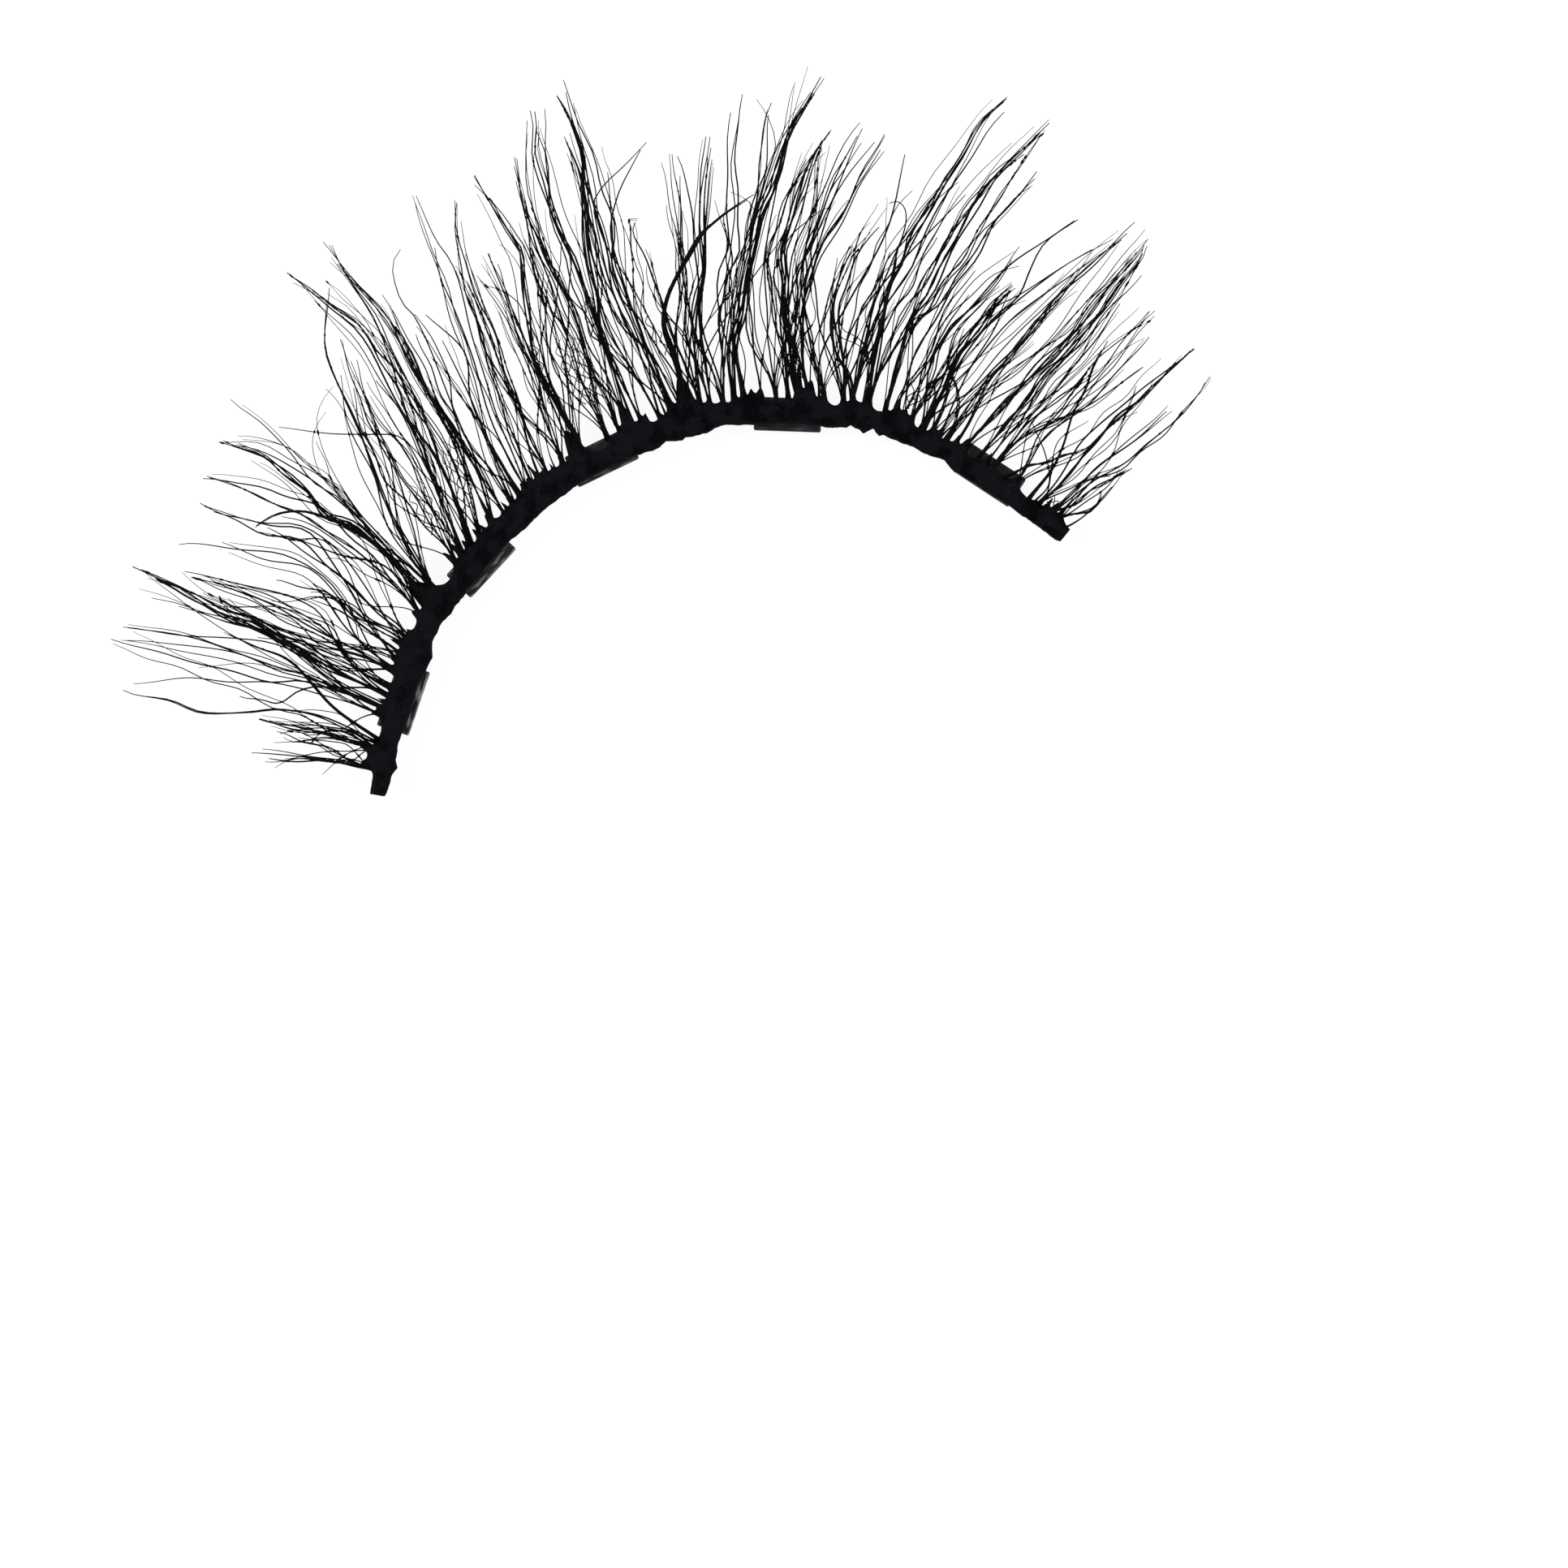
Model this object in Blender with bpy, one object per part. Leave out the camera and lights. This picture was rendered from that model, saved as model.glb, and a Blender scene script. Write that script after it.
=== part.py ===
"""A black magnetic false eyelash strip, lying on its magnets with the lashes curling up.

+X runs along the strip, +Y runs out along the middle lashes and +Z is up.
The origin is the middle of the underside of magnet_3, the middle one.
Sizes are written in millimetres and turned into metres by MM.
"""

import math

import bmesh
import bpy
from mathutils import Vector

MM = 0.001

# The band's middle line, seen from above: x, y
BAND_LINE = (
    (-11.75, -8.40),
    (-10.60, -6.50),
    (-8.90, -4.40),
    (-6.80, -2.55),
    (-4.00, -1.05),
    (-0.80, -0.05),
    (2.80, 0.13),
    (6.00, -0.50),
    (9.00, -1.90),
    (11.50, -4.20),
    (13.20, -6.50),
    (14.40, -8.55),
)
LINE_STEPS = 24

# How wide the band is: part of its length from the left end, width
BAND_WIDTHS = (
    (0.00, 0.62),
    (0.04, 0.74),
    (0.07, 0.98),
    (0.50, 1.00),
    (0.88, 0.98),
    (0.94, 0.76),
    (1.00, 0.60),
)
BAND_THICK = 0.55
BAND_CHAMFER = 0.14
BAND_SECTION_STEP = 0.6
BAND_LUMP = 0.045
LUMP_LENGTHS = (1.9, 2.7)

# The magnets: x and y of the middle, turn in degrees
MAGNETS = (
    (-9.69, -5.49, 50.2),
    (-5.35, -1.93, 26.2),
    (0.00, 0.00, 4.7),
    (6.75, -0.94, -23.0),
    (12.69, -5.52, -54.4),
)
MAGNET_LENGTH = 2.4
MAGNET_DEPTH = 1.2
MAGNET_THICK = 0.6
MAGNET_BEVEL = 0.07

# Glue gap between pieces
GAP = 0.05

# The ridge of knots that each cluster grows from, along the band's outer edge
RIDGE_DEPTH = 0.34
RIDGE_THICK = 0.42
RIDGE_CHAMFER = 0.10
RIDGE_STEP = 0.7
RIDGE_END = 0.45
RIDGE_END_SIZE = 0.55

# A lock tapers from its foot to its tip and curls up as it goes
FOOT_THICK = 0.36
TIP_WIDTH = 0.10
TIP_THICK = 0.07
LOCK_SIDES = 6
LOCK_STEP = 1.4
FEWEST_SECTIONS = 5
TAPER = 1.35
SQUARE_TO_BAND = 0.28
LIFT_AT_FOOT = 0.10
LIFT_TO_TIP = 0.26

# Edges sharper than this, in degrees, show as edges
SHARP_EDGE = 50

# The clusters from left to right. Each lock: distance of its foot along the band, foot width,
# then x, y half way along it and x, y of its tip
CLUSTERS = (
    (
        (1.10, 0.35, -13.10, -6.45, -15.00, -5.75),
        (1.65, 0.55, -13.15, -5.30, -14.70, -4.35),
    ),
    (
        (2.70, 0.75, -14.50, -2.90, -18.60, 0.10),
    ),
    (
        (3.50, 0.75, -13.70, -1.80, -17.45, 1.55),
        (4.20, 0.75, -12.90, -1.35, -16.85, 2.25),
    ),
    (
        (4.95, 0.50, -11.80, -0.25, -15.10, 2.45),
        (5.35, 0.60, -10.95, -0.60, -13.60, 1.95),
        (5.90, 0.40, -10.75, 0.45, -13.90, 3.45),
    ),
    (
        (6.75, 0.50, -10.00, 1.75, -13.35, 4.35),
        (7.05, 0.60, -9.75, 1.60, -12.35, 5.25),
        (7.40, 0.50, -9.20, 2.20, -11.45, 6.40),
    ),
    (
        (7.95, 0.40, -7.75, 2.60, -7.70, 7.10),
        (8.50, 0.80, -7.10, 2.60, -7.30, 7.00),
        (9.15, 0.80, -6.10, 4.20, -7.95, 9.95),
    ),
    (
        (10.20, 0.90, -5.05, 4.60, -6.55, 10.40),
        (11.10, 0.90, -4.50, 3.40, -4.85, 7.60),
    ),
    (
        (12.25, 1.00, -2.85, 5.20, -2.85, 10.90),
        (13.15, 0.80, -2.10, 5.50, -1.50, 10.30),
    ),
    (
        (13.95, 0.50, -1.20, 4.40, -1.45, 8.00),
        (14.50, 0.60, -0.50, 5.60, -0.60, 10.80),
    ),
    (
        (16.15, 0.60, 0.80, 5.60, 0.95, 11.00),
        (16.60, 0.60, 1.45, 6.40, 2.20, 12.20),
        (17.05, 0.70, 1.95, 6.10, 3.15, 12.40),
        (17.70, 0.60, 2.50, 5.40, 2.80, 11.00),
    ),
    (
        (18.30, 0.50, 3.10, 6.30, 3.55, 12.70),
        (18.70, 0.50, 4.40, 4.60, 8.20, 6.75),
        (18.95, 0.40, 4.00, 4.60, 4.25, 7.60),
        (19.20, 0.50, 4.90, 5.10, 6.20, 9.20),
        (19.60, 0.40, 5.55, 4.75, 7.55, 9.20),
    ),
    (
        (20.10, 0.40, 7.25, 5.30, 9.20, 10.10),
        (20.50, 0.90, 7.80, 5.00, 12.10, 9.55),
        (20.95, 0.60, 8.10, 5.10, 11.20, 9.85),
    ),
    (
        (22.20, 0.90, 9.00, 4.60, 11.70, 7.85),
        (22.90, 0.60, 10.10, 4.10, 13.50, 6.90),
    ),
    (
        (23.90, 0.70, 10.50, 2.30, 13.00, 4.90),
        (24.60, 0.90, 13.10, 3.25, 17.90, 6.65),
    ),
    (
        (25.55, 0.80, 14.20, 2.35, 18.75, 5.20),
        (26.00, 0.40, 14.20, 1.50, 18.10, 3.70),
    ),
    (
        (26.55, 0.50, 13.30, -0.10, 16.50, 1.15),
        (27.00, 0.60, 13.40, -1.20, 15.90, 0.35),
    ),
    (
        (27.70, 0.60, 15.60, -1.45, 20.20, 0.75),
        (28.25, 0.55, 16.30, -2.25, 20.40, 0.00),
    ),
    (
        (29.00, 0.75, 16.30, -2.85, 20.80, -0.55),
        (29.60, 0.45, 16.30, -3.75, 20.20, -2.30),
    ),
    (
        (30.25, 0.60, 16.30, -4.55, 19.70, -3.05),
    ),
    (
        (31.40, 0.60, 17.40, -5.40, 20.90, -3.95),
        (31.90, 0.40, 17.70, -6.60, 21.20, -5.20),
        (32.25, 0.35, 16.00, -7.35, 17.60, -7.05),
        (32.60, 0.30, 15.90, -7.85, 17.20, -7.25),
    ),
)

COTTON = ((0.006, 0.006, 0.007), 0.55, 0.0)
MAGNET = ((0.020, 0.020, 0.022), 0.38, 0.6)
HAIR = ((0.003, 0.003, 0.003), 0.48, 0.0)


def clear_scene():
    for obj in list(bpy.data.objects):
        bpy.data.objects.remove(obj, do_unlink=True)


def smooth(points, steps):
    """Points along a curve that passes through the given ones."""
    known = [Vector(point) for point in points]
    known = [2 * known[0] - known[1], *known, 2 * known[-1] - known[-2]]
    found = []
    for a, b, c, d in zip(known, known[1:], known[2:], known[3:]):
        for step in range(steps):
            t = step / steps
            found.append(
                0.5
                * (
                    2 * b
                    + (c - a) * t
                    + (2 * a - 5 * b + 4 * c - d) * t**2
                    + (3 * b - a - 3 * c + d) * t**3
                )
            )
    return [*found, known[-2]]


LINE = smooth(BAND_LINE, LINE_STEPS)
REACHED = [0.0]
for before, after in zip(LINE, LINE[1:]):
    REACHED.append(REACHED[-1] + (after - before).length)
BAND_LENGTH = REACHED[-1]


def on_band(distance):
    """(point, direction, outward normal) of the band's middle line at this distance from its left end."""
    place = min(max(distance, 0.0), BAND_LENGTH)
    k = max(i for i, reached in enumerate(REACHED[:-1]) if reached <= place)
    step = LINE[k + 1] - LINE[k]
    along = step.normalized()
    point = LINE[k] + along * (place - REACHED[k])
    return point, along, Vector((-along.y, along.x))


def stations(start, end, step):
    count = max(2, round((end - start) / step))
    return [start + (end - start) * k / count for k in range(count + 1)]


def table_value(table, place):
    for (low, first), (high, last) in zip(table, table[1:]):
        if place <= high:
            return first + (last - first) * (place - low) / (high - low)
    return table[-1][1]


def band_edge(distance):
    """How far the band's outer edge lies from its middle line."""
    return table_value(BAND_WIDTHS, distance / BAND_LENGTH) / 2


def chamfered(inner, outer, low, high, chamfer):
    """A box section with its corners cut off, as (offset, height) pairs."""
    return (
        (inner + chamfer, low),
        (outer - chamfer, low),
        (outer, low + chamfer),
        (outer, high - chamfer),
        (outer - chamfer, high),
        (inner + chamfer, high),
        (inner, high - chamfer),
        (inner, low + chamfer),
    )


def skin(name, rings):
    """A closed solid through rings of points, with both ends filled."""
    mesh = bmesh.new()
    loops = [[mesh.verts.new(Vector(point) * MM) for point in ring] for ring in rings]
    for first, second in zip(loops, loops[1:]):
        for k, corner in enumerate(first):
            mesh.faces.new((first[k - 1], corner, second[k], second[k - 1]))
    mesh.faces.new(loops[0])
    mesh.faces.new(loops[-1])
    bmesh.ops.recalc_face_normals(mesh, faces=mesh.faces)
    data = bpy.data.meshes.new(name)
    mesh.to_mesh(data)
    mesh.free()
    data.shade_smooth()
    data.set_sharp_from_angle(angle=math.radians(SHARP_EDGE))
    return bpy.data.objects.new(name, data)


def add(obj, parent=None):
    bpy.context.scene.collection.objects.link(obj)
    obj.parent = parent
    return obj


def finish(obj, look):
    colour, roughness, metallic = look
    material = bpy.data.materials.new(obj.name)
    material.use_nodes = True
    shader = material.node_tree.nodes["Principled BSDF"]
    shader.inputs["Base Color"].default_value = (*colour, 1.0)
    shader.inputs["Roughness"].default_value = roughness
    shader.inputs["Metallic"].default_value = metallic
    obj.data.materials.append(material)


def band_section(distance):
    """The band's section, whose inner edge swells and shrinks as the glued cotton does."""
    point, _, outward = on_band(distance)
    edge = band_edge(distance)
    swell = sum(math.sin(math.tau * distance / length) for length in LUMP_LENGTHS)
    low = MAGNET_THICK + GAP
    profile = chamfered(
        -edge - BAND_LUMP * swell / len(LUMP_LENGTHS),
        edge,
        low,
        low + BAND_THICK,
        BAND_CHAMFER,
    )
    return [(*(point + outward * offset), height) for offset, height in profile]


def band(parent):
    sections = [band_section(d) for d in stations(0.0, BAND_LENGTH, BAND_SECTION_STEP)]
    obj = add(skin("band", sections), parent)
    finish(obj, COTTON)


def magnet(number, x, y, turn, parent):
    name = f"magnet_{number}"
    mesh = bmesh.new()
    bmesh.ops.create_cube(mesh, size=1.0)
    size = Vector((MAGNET_LENGTH, MAGNET_DEPTH, MAGNET_THICK)) * MM
    bmesh.ops.scale(mesh, vec=size, verts=mesh.verts)
    data = bpy.data.meshes.new(name)
    mesh.to_mesh(data)
    mesh.free()
    obj = add(bpy.data.objects.new(name, data), parent)
    obj.location = Vector((x, y, MAGNET_THICK / 2)) * MM
    obj.rotation_euler.z = math.radians(turn)
    rounding = obj.modifiers.new("rounded edges", "BEVEL")
    rounding.width = MAGNET_BEVEL * MM
    rounding.segments = 1
    finish(obj, MAGNET)


def ridge_height():
    return MAGNET_THICK + GAP + BAND_THICK / 2


def ridge(name, start, end):
    """The knots of a cluster: a low bar along the band's outer edge, thinner at both ends."""
    sections = []
    middle = ridge_height()
    for distance in stations(start, end, RIDGE_STEP):
        point, _, outward = on_band(distance)
        inner = band_edge(distance) + GAP
        to_end = min(distance - start, end - distance) / RIDGE_END
        full = RIDGE_END_SIZE + (1 - RIDGE_END_SIZE) * min(1.0, to_end)
        half = RIDGE_THICK / 2 * full
        profile = chamfered(
            inner,
            inner + RIDGE_DEPTH * full,
            middle - half,
            middle + half,
            RIDGE_CHAMFER * full,
        )
        sections.append([(*(point + outward * offset), height) for offset, height in profile])
    return skin(name, sections)


def lock(name, foot, foot_width, bend, tip):
    """One tapering lock of hair, from inside its ridge to its tip."""
    point, along, outward = on_band(foot)
    root = point + outward * (band_edge(foot) + GAP + RIDGE_DEPTH / 2)
    middle, end = Vector(bend), Vector(tip)
    pull = 2 * middle - (root + end) / 2
    reach = (end - root).length
    sections = []
    count = max(FEWEST_SECTIONS, round(reach / LOCK_STEP))
    for k in range(count + 1):
        t = k / count
        left = 1 - t**TAPER
        place = root * (1 - t) ** 2 + pull * (2 * t * (1 - t)) + end * t**2
        heading = ((pull - root) * (1 - t) + (end - pull) * t).normalized()
        across = Vector((heading.y, -heading.x))
        side = along.lerp(across, min(1.0, t / SQUARE_TO_BAND)).normalized()
        climb = reach * (LIFT_AT_FOOT * t + LIFT_TO_TIP * t**2)
        slope = LIFT_AT_FOOT + 2 * LIFT_TO_TIP * t
        over = Vector((-heading.x * slope, -heading.y * slope, 1.0)).normalized()
        centre = Vector((*place, ridge_height() + climb))
        wide = (TIP_WIDTH + (foot_width - TIP_WIDTH) * left) / 2
        thick = (TIP_THICK + (FOOT_THICK - TIP_THICK) * left) / 2
        sections.append(
            [
                centre
                + Vector((*side, 0.0)) * (wide * math.cos(turn))
                + over * (thick * math.sin(turn))
                for turn in (math.tau * n / LOCK_SIDES for n in range(LOCK_SIDES))
            ]
        )
    return skin(name, sections)


def cluster(number, locks, parent):
    """Neighbouring locks fused to one ridge of knots."""
    name = f"lash_cluster_{number:02d}"
    start = min(foot - width / 2 for foot, width, *_ in locks)
    end = max(foot + width / 2 for foot, width, *_ in locks)
    obj = add(ridge(name, start, end), parent)
    guides = bpy.data.collections.new(f"{name}_locks")
    bpy.context.scene.collection.children.link(guides)
    for k, (foot, width, bend_x, bend_y, tip_x, tip_y) in enumerate(locks, 1):
        piece = lock(f"{name}_lock_{k}", foot, width, (bend_x, bend_y), (tip_x, tip_y))
        piece.hide_render = True
        piece.display_type = "WIRE"
        piece.parent = parent
        guides.objects.link(piece)
    fuse = obj.modifiers.new("locks", "BOOLEAN")
    fuse.operation = "UNION"
    fuse.solver = "EXACT"
    fuse.operand_type = "COLLECTION"
    fuse.collection = guides
    finish(obj, HAIR)


def main():
    clear_scene()
    strip = add(bpy.data.objects.new("lash_strip", None))
    band(strip)
    for number, (x, y, turn) in enumerate(MAGNETS, 1):
        magnet(number, x, y, turn, strip)
    for number, locks in enumerate(CLUSTERS, 1):
        cluster(number, locks, strip)


main()
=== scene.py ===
# %% [markdown]
# # A magnetic false eyelash strip
# The strip is a thin cotton band coated with black glue, with five small magnets under it and several
# hundred fine hairs knotted along its outer edge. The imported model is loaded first, because every piece
# below stands for one of its solids and has to stay where that solid is.

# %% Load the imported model
import math

import bpy
import numpy as np
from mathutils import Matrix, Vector, noise


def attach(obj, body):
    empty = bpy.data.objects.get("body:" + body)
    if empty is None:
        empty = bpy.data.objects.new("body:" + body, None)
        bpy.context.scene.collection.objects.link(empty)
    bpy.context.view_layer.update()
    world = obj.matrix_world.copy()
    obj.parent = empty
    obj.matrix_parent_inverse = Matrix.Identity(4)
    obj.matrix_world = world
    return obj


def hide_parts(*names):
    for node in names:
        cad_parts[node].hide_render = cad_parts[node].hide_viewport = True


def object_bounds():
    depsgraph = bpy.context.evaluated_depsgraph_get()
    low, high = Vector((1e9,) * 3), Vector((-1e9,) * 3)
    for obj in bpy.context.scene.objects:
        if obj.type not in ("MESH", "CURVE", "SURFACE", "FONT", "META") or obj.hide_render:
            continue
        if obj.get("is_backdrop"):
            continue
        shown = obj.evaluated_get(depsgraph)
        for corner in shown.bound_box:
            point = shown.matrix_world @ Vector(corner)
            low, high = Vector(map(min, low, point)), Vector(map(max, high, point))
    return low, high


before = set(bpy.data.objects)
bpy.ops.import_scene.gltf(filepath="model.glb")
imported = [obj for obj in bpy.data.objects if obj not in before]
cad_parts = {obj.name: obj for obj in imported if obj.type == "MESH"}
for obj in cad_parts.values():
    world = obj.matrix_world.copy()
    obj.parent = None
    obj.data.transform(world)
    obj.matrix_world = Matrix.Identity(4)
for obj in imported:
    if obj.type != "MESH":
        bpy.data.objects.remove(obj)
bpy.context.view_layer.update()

MM = 0.001

# %% [markdown]
# ## The view
# The photograph was taken from straight above, with the strip in the upper left of the frame and turned a
# little. A very long lens keeps the curled tips from leaning outwards.

# %% Camera
FRAME_WIDTH = 56.0
FRAME_CENTRE = (1.90, -13.20)
FRAME_TURN = -21.0
LENS, SENSOR = 400.0, 36.0


def new_object(name, data):
    """A new object with this data, linked into the scene."""
    made = bpy.data.objects.new(name, data)
    bpy.context.scene.collection.objects.link(made)
    return made


eye = new_object("overhead_camera", bpy.data.cameras.new("overhead_camera"))
eye.data.lens, eye.data.sensor_width = LENS, SENSOR
eye.location = Vector((*FRAME_CENTRE, FRAME_WIDTH * LENS / SENSOR)) * MM
eye.rotation_euler.z = math.radians(FRAME_TURN)
eye.data.clip_start, eye.data.clip_end = 0.01, 10.0
bpy.context.scene.camera = eye
print("the camera hangs", round(eye.location.z, 3), "m above the floor")

# %% [markdown]
# ## The studio
# A small object on white lies on a light table, with soft light from all round. The sheet glows just enough
# to turn white: were it brighter, it would swallow hairs finer than a pixel. Its own paint is grey, so that
# the hairs' shadows don't dirty the white between them.

# %% Floor, world and lights
FLOOR_SIZE = 6.0
FLOOR_DROP = 0.00001
SHEET_GLOW = 0.9
SHEET_GREYS = (0.115,) * 3, (0.125,) * 3
WHITE = (1.0, 1.0, 1.0, 1.0)
WORLD_STRENGTH = 0.55
# Name, place, width and power
LIGHTS = (
    ("key_light", (-0.30, 0.32, 0.42), 0.30, 3.2),
    ("fill_light", (0.42, -0.20, 0.36), 0.40, 2.0),
)


def nothing_selected():
    bpy.ops.object.select_all(action="DESELECT")


def soft_light(name, place, size, power):
    """A square area light at this place, aimed at the middle of the strip."""
    light = new_object(name, bpy.data.lights.new(name, "AREA"))
    light.data.size, light.data.energy = size, power
    light.location = place
    light.rotation_euler = (-Vector(place)).to_track_quat("-Z", "Y").to_euler()


nothing_selected()
bpy.ops.mesh.primitive_plane_add(size=FLOOR_SIZE, location=(0, 0, -FLOOR_DROP))
floor = bpy.context.active_object
floor.name = "white_sheet"
floor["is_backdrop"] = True

world = bpy.data.worlds.new("white_room")
world.use_nodes = True
world.node_tree.nodes["Background"].inputs["Color"].default_value = WHITE
world.node_tree.nodes["Background"].inputs["Strength"].default_value = WORLD_STRENGTH
bpy.context.scene.world = world
for light in LIGHTS:
    soft_light(*light)
bpy.context.scene.view_settings.view_transform = "Standard"

# %% [markdown]
# ## Finishes as expressions
# A finish is a network of nodes, but its sums are easier to read as Python. The class below wraps one
# socket, so that `1 - mask * 2` adds the Math nodes, and its `node` method adds any other node.


# %% A socket that can be reckoned with
def sums(operation, turned=False):
    """A method that adds one Math node. If turned, the Wire is the second of its two values."""

    def method(wire, other):
        pair = (other, wire) if turned else (wire, other)
        return wire.node("Math", {"operation": operation}, dict(enumerate(pair)))

    return method


class Wire:
    """One output of a node tree, to be added, subtracted, multiplied or passed on."""

    def __init__(self, tree, socket=None):
        self.tree = tree
        self.socket = socket

    def node(self, kind, settings=None, values=None, output=0):
        made = self.tree.nodes.new("ShaderNode" + kind)
        for name, value in (settings or {}).items():
            setattr(made, name, value)
        for name, value in (values or {}).items():
            if isinstance(value, Wire):
                self.tree.links.new(value.socket, made.inputs[name])
            else:
                made.inputs[name].default_value = value
        return Wire(self.tree, made.outputs[output])

    __add__ = __radd__ = sums("ADD")
    __mul__ = __rmul__ = sums("MULTIPLY")
    __sub__, __rsub__, __pow__ = sums("SUBTRACT"), sums("SUBTRACT", turned=True), sums("POWER")

    def between(self, low, high):
        """0 below low, 1 above high, and a smooth step in between."""
        return self.node(
            "MapRange",
            {"interpolation_type": "SMOOTHSTEP"},
            {"Value": self, "From Min": low, "From Max": high},
        )


def new_finish(name, specular, **fixed):
    """A material, its shader and a Wire to start from. The fixed numbers go straight on the shader."""
    material = bpy.data.materials.new(name)
    material.use_nodes = True
    shader = material.node_tree.nodes["Principled BSDF"]
    shader.inputs["Specular IOR Level"].default_value = specular
    for socket, value in fixed.items():
        shader.inputs[socket.replace("_", " ")].default_value = value
    return material, shader, Wire(material.node_tree)


def plug(shader, **wires):
    for socket, wire in wires.items():
        wire.tree.links.new(wire.socket, shader.inputs[socket.replace("_", " ")])


def mixed(start, factor, first, second):
    """One colour turning into another where the factor is 1."""
    return start.node(
        "Mix",
        {"data_type": "RGBA"},
        {"Factor": factor, "A": (*first, 1.0), "B": (*second, 1.0)},
        output=2,
    )


def clouds(start, vector, scale, detail, flat=False):
    """Noise over these coordinates, in two dimensions where they are those of a flat map."""
    settings = {"noise_dimensions": "2D"} if flat else {}
    return start.node("TexNoise", settings, {"Vector": vector, "Scale": scale, "Detail": detail})


def carried(start, name):
    """A number that the mesh carries at each of its corners."""
    return start.node("Attribute", {"attribute_name": name}, output=2)


def bump(start, strength, distance, height):
    return start.node("Bump", {}, {"Strength": strength, "Distance": distance, "Height": height})


material, shader, start = new_finish(
    "white_sheet", 0.2, Roughness=0.9, Emission_Color=WHITE, Emission_Strength=SHEET_GLOW
)
sheet_grain = start.node("TexNoise", {}, {"Scale": 40.0, "Detail": 3.0})
plug(shader, Base_Color=mixed(start, sheet_grain, *SHEET_GREYS))
floor.data.materials.append(material)

# %% [markdown]
# ## The line of the band
# Everything hangs on one curve, the band's middle line. It is the same line as in the part's source: a
# smooth curve through twelve points. A place on the strip is given as a distance along that line from the
# left end, and an offset outwards from it.

# %% Places along the band
BAND_LINE = (
    (-11.75, -8.40), (-10.60, -6.50), (-8.90, -4.40), (-6.80, -2.55), (-4.00, -1.05), (-0.80, -0.05),
    (2.80, 0.13), (6.00, -0.50), (9.00, -1.90), (11.50, -4.20), (13.20, -6.50), (14.40, -8.55),
)
BAND_WIDTHS = (
    (0.00, 0.62), (0.04, 0.74), (0.07, 0.98), (0.50, 1.00), (0.88, 0.98), (0.94, 0.76), (1.00, 0.60),
)
MID_HEIGHT = 0.925
HALF_THICK = 0.275
LINE_STEPS = 24


def smooth(points, steps):
    """A curve through the points, as rows of x and y, with this many steps from one point to the next."""
    known = np.array(points, float)
    known = np.vstack([2 * known[0] - known[1], known, 2 * known[-1] - known[-2]])
    a, b, c, d = known[:-3, None], known[1:-2, None], known[2:-1, None], known[3:, None]
    t = (np.arange(steps) / steps)[None, :, None]
    curve = 2 * b + (c - a) * t + (2 * a - 5 * b + 4 * c - d) * t**2 + (3 * b - a - 3 * c + d) * t**3
    return np.vstack([curve.reshape(-1, known.shape[1]) / 2, known[-2]])


def reached(curve):
    """How far along the curve each of its points lies."""
    return np.r_[0, np.cumsum(np.linalg.norm(np.diff(curve, axis=0), axis=1))]


def between_rows(at, known, rows):
    """x and y at these places, where the rows are known at others."""
    return np.stack([np.interp(at, known, rows[:, k]) for k in (0, 1)], axis=-1)


def unit(rows):
    return rows / np.linalg.norm(rows, axis=1)[:, None]


def right_of(way):
    """Unit vectors to the right of these ways in the view from above."""
    return unit(np.stack([way[:, 1], -way[:, 0]], axis=1))


LINE = smooth(BAND_LINE, LINE_STEPS)
LINE_AT = reached(LINE)
BAND_LENGTH = LINE_AT[-1]
ALONG = unit(np.gradient(LINE, LINE_AT, axis=0))


def on_band(distance, offset):
    """x and y of places at these distances along the band and these offsets outwards from its middle line."""
    way = between_rows(distance, LINE_AT, ALONG)
    outward = np.stack([-way[..., 1], way[..., 0]], axis=-1)
    return between_rows(distance, LINE_AT, LINE) + outward * np.asarray(offset)[..., None]


def half_width(distance):
    places, widths = zip(*BAND_WIDTHS)
    return np.interp(np.asarray(distance) / BAND_LENGTH, places, widths) / 2


print("the band is", round(BAND_LENGTH, 2), "mm long")

# %% [markdown]
# ## Bays and knots
# The hairs are tied on in knots, and glue has crept up between them. Seen from above, the band's outer edge
# is therefore a row of rounded bays with dark points of glue and knots between them. The bays are measured
# one by one, since they give the strip its character, and a point rises between each pair.

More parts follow.
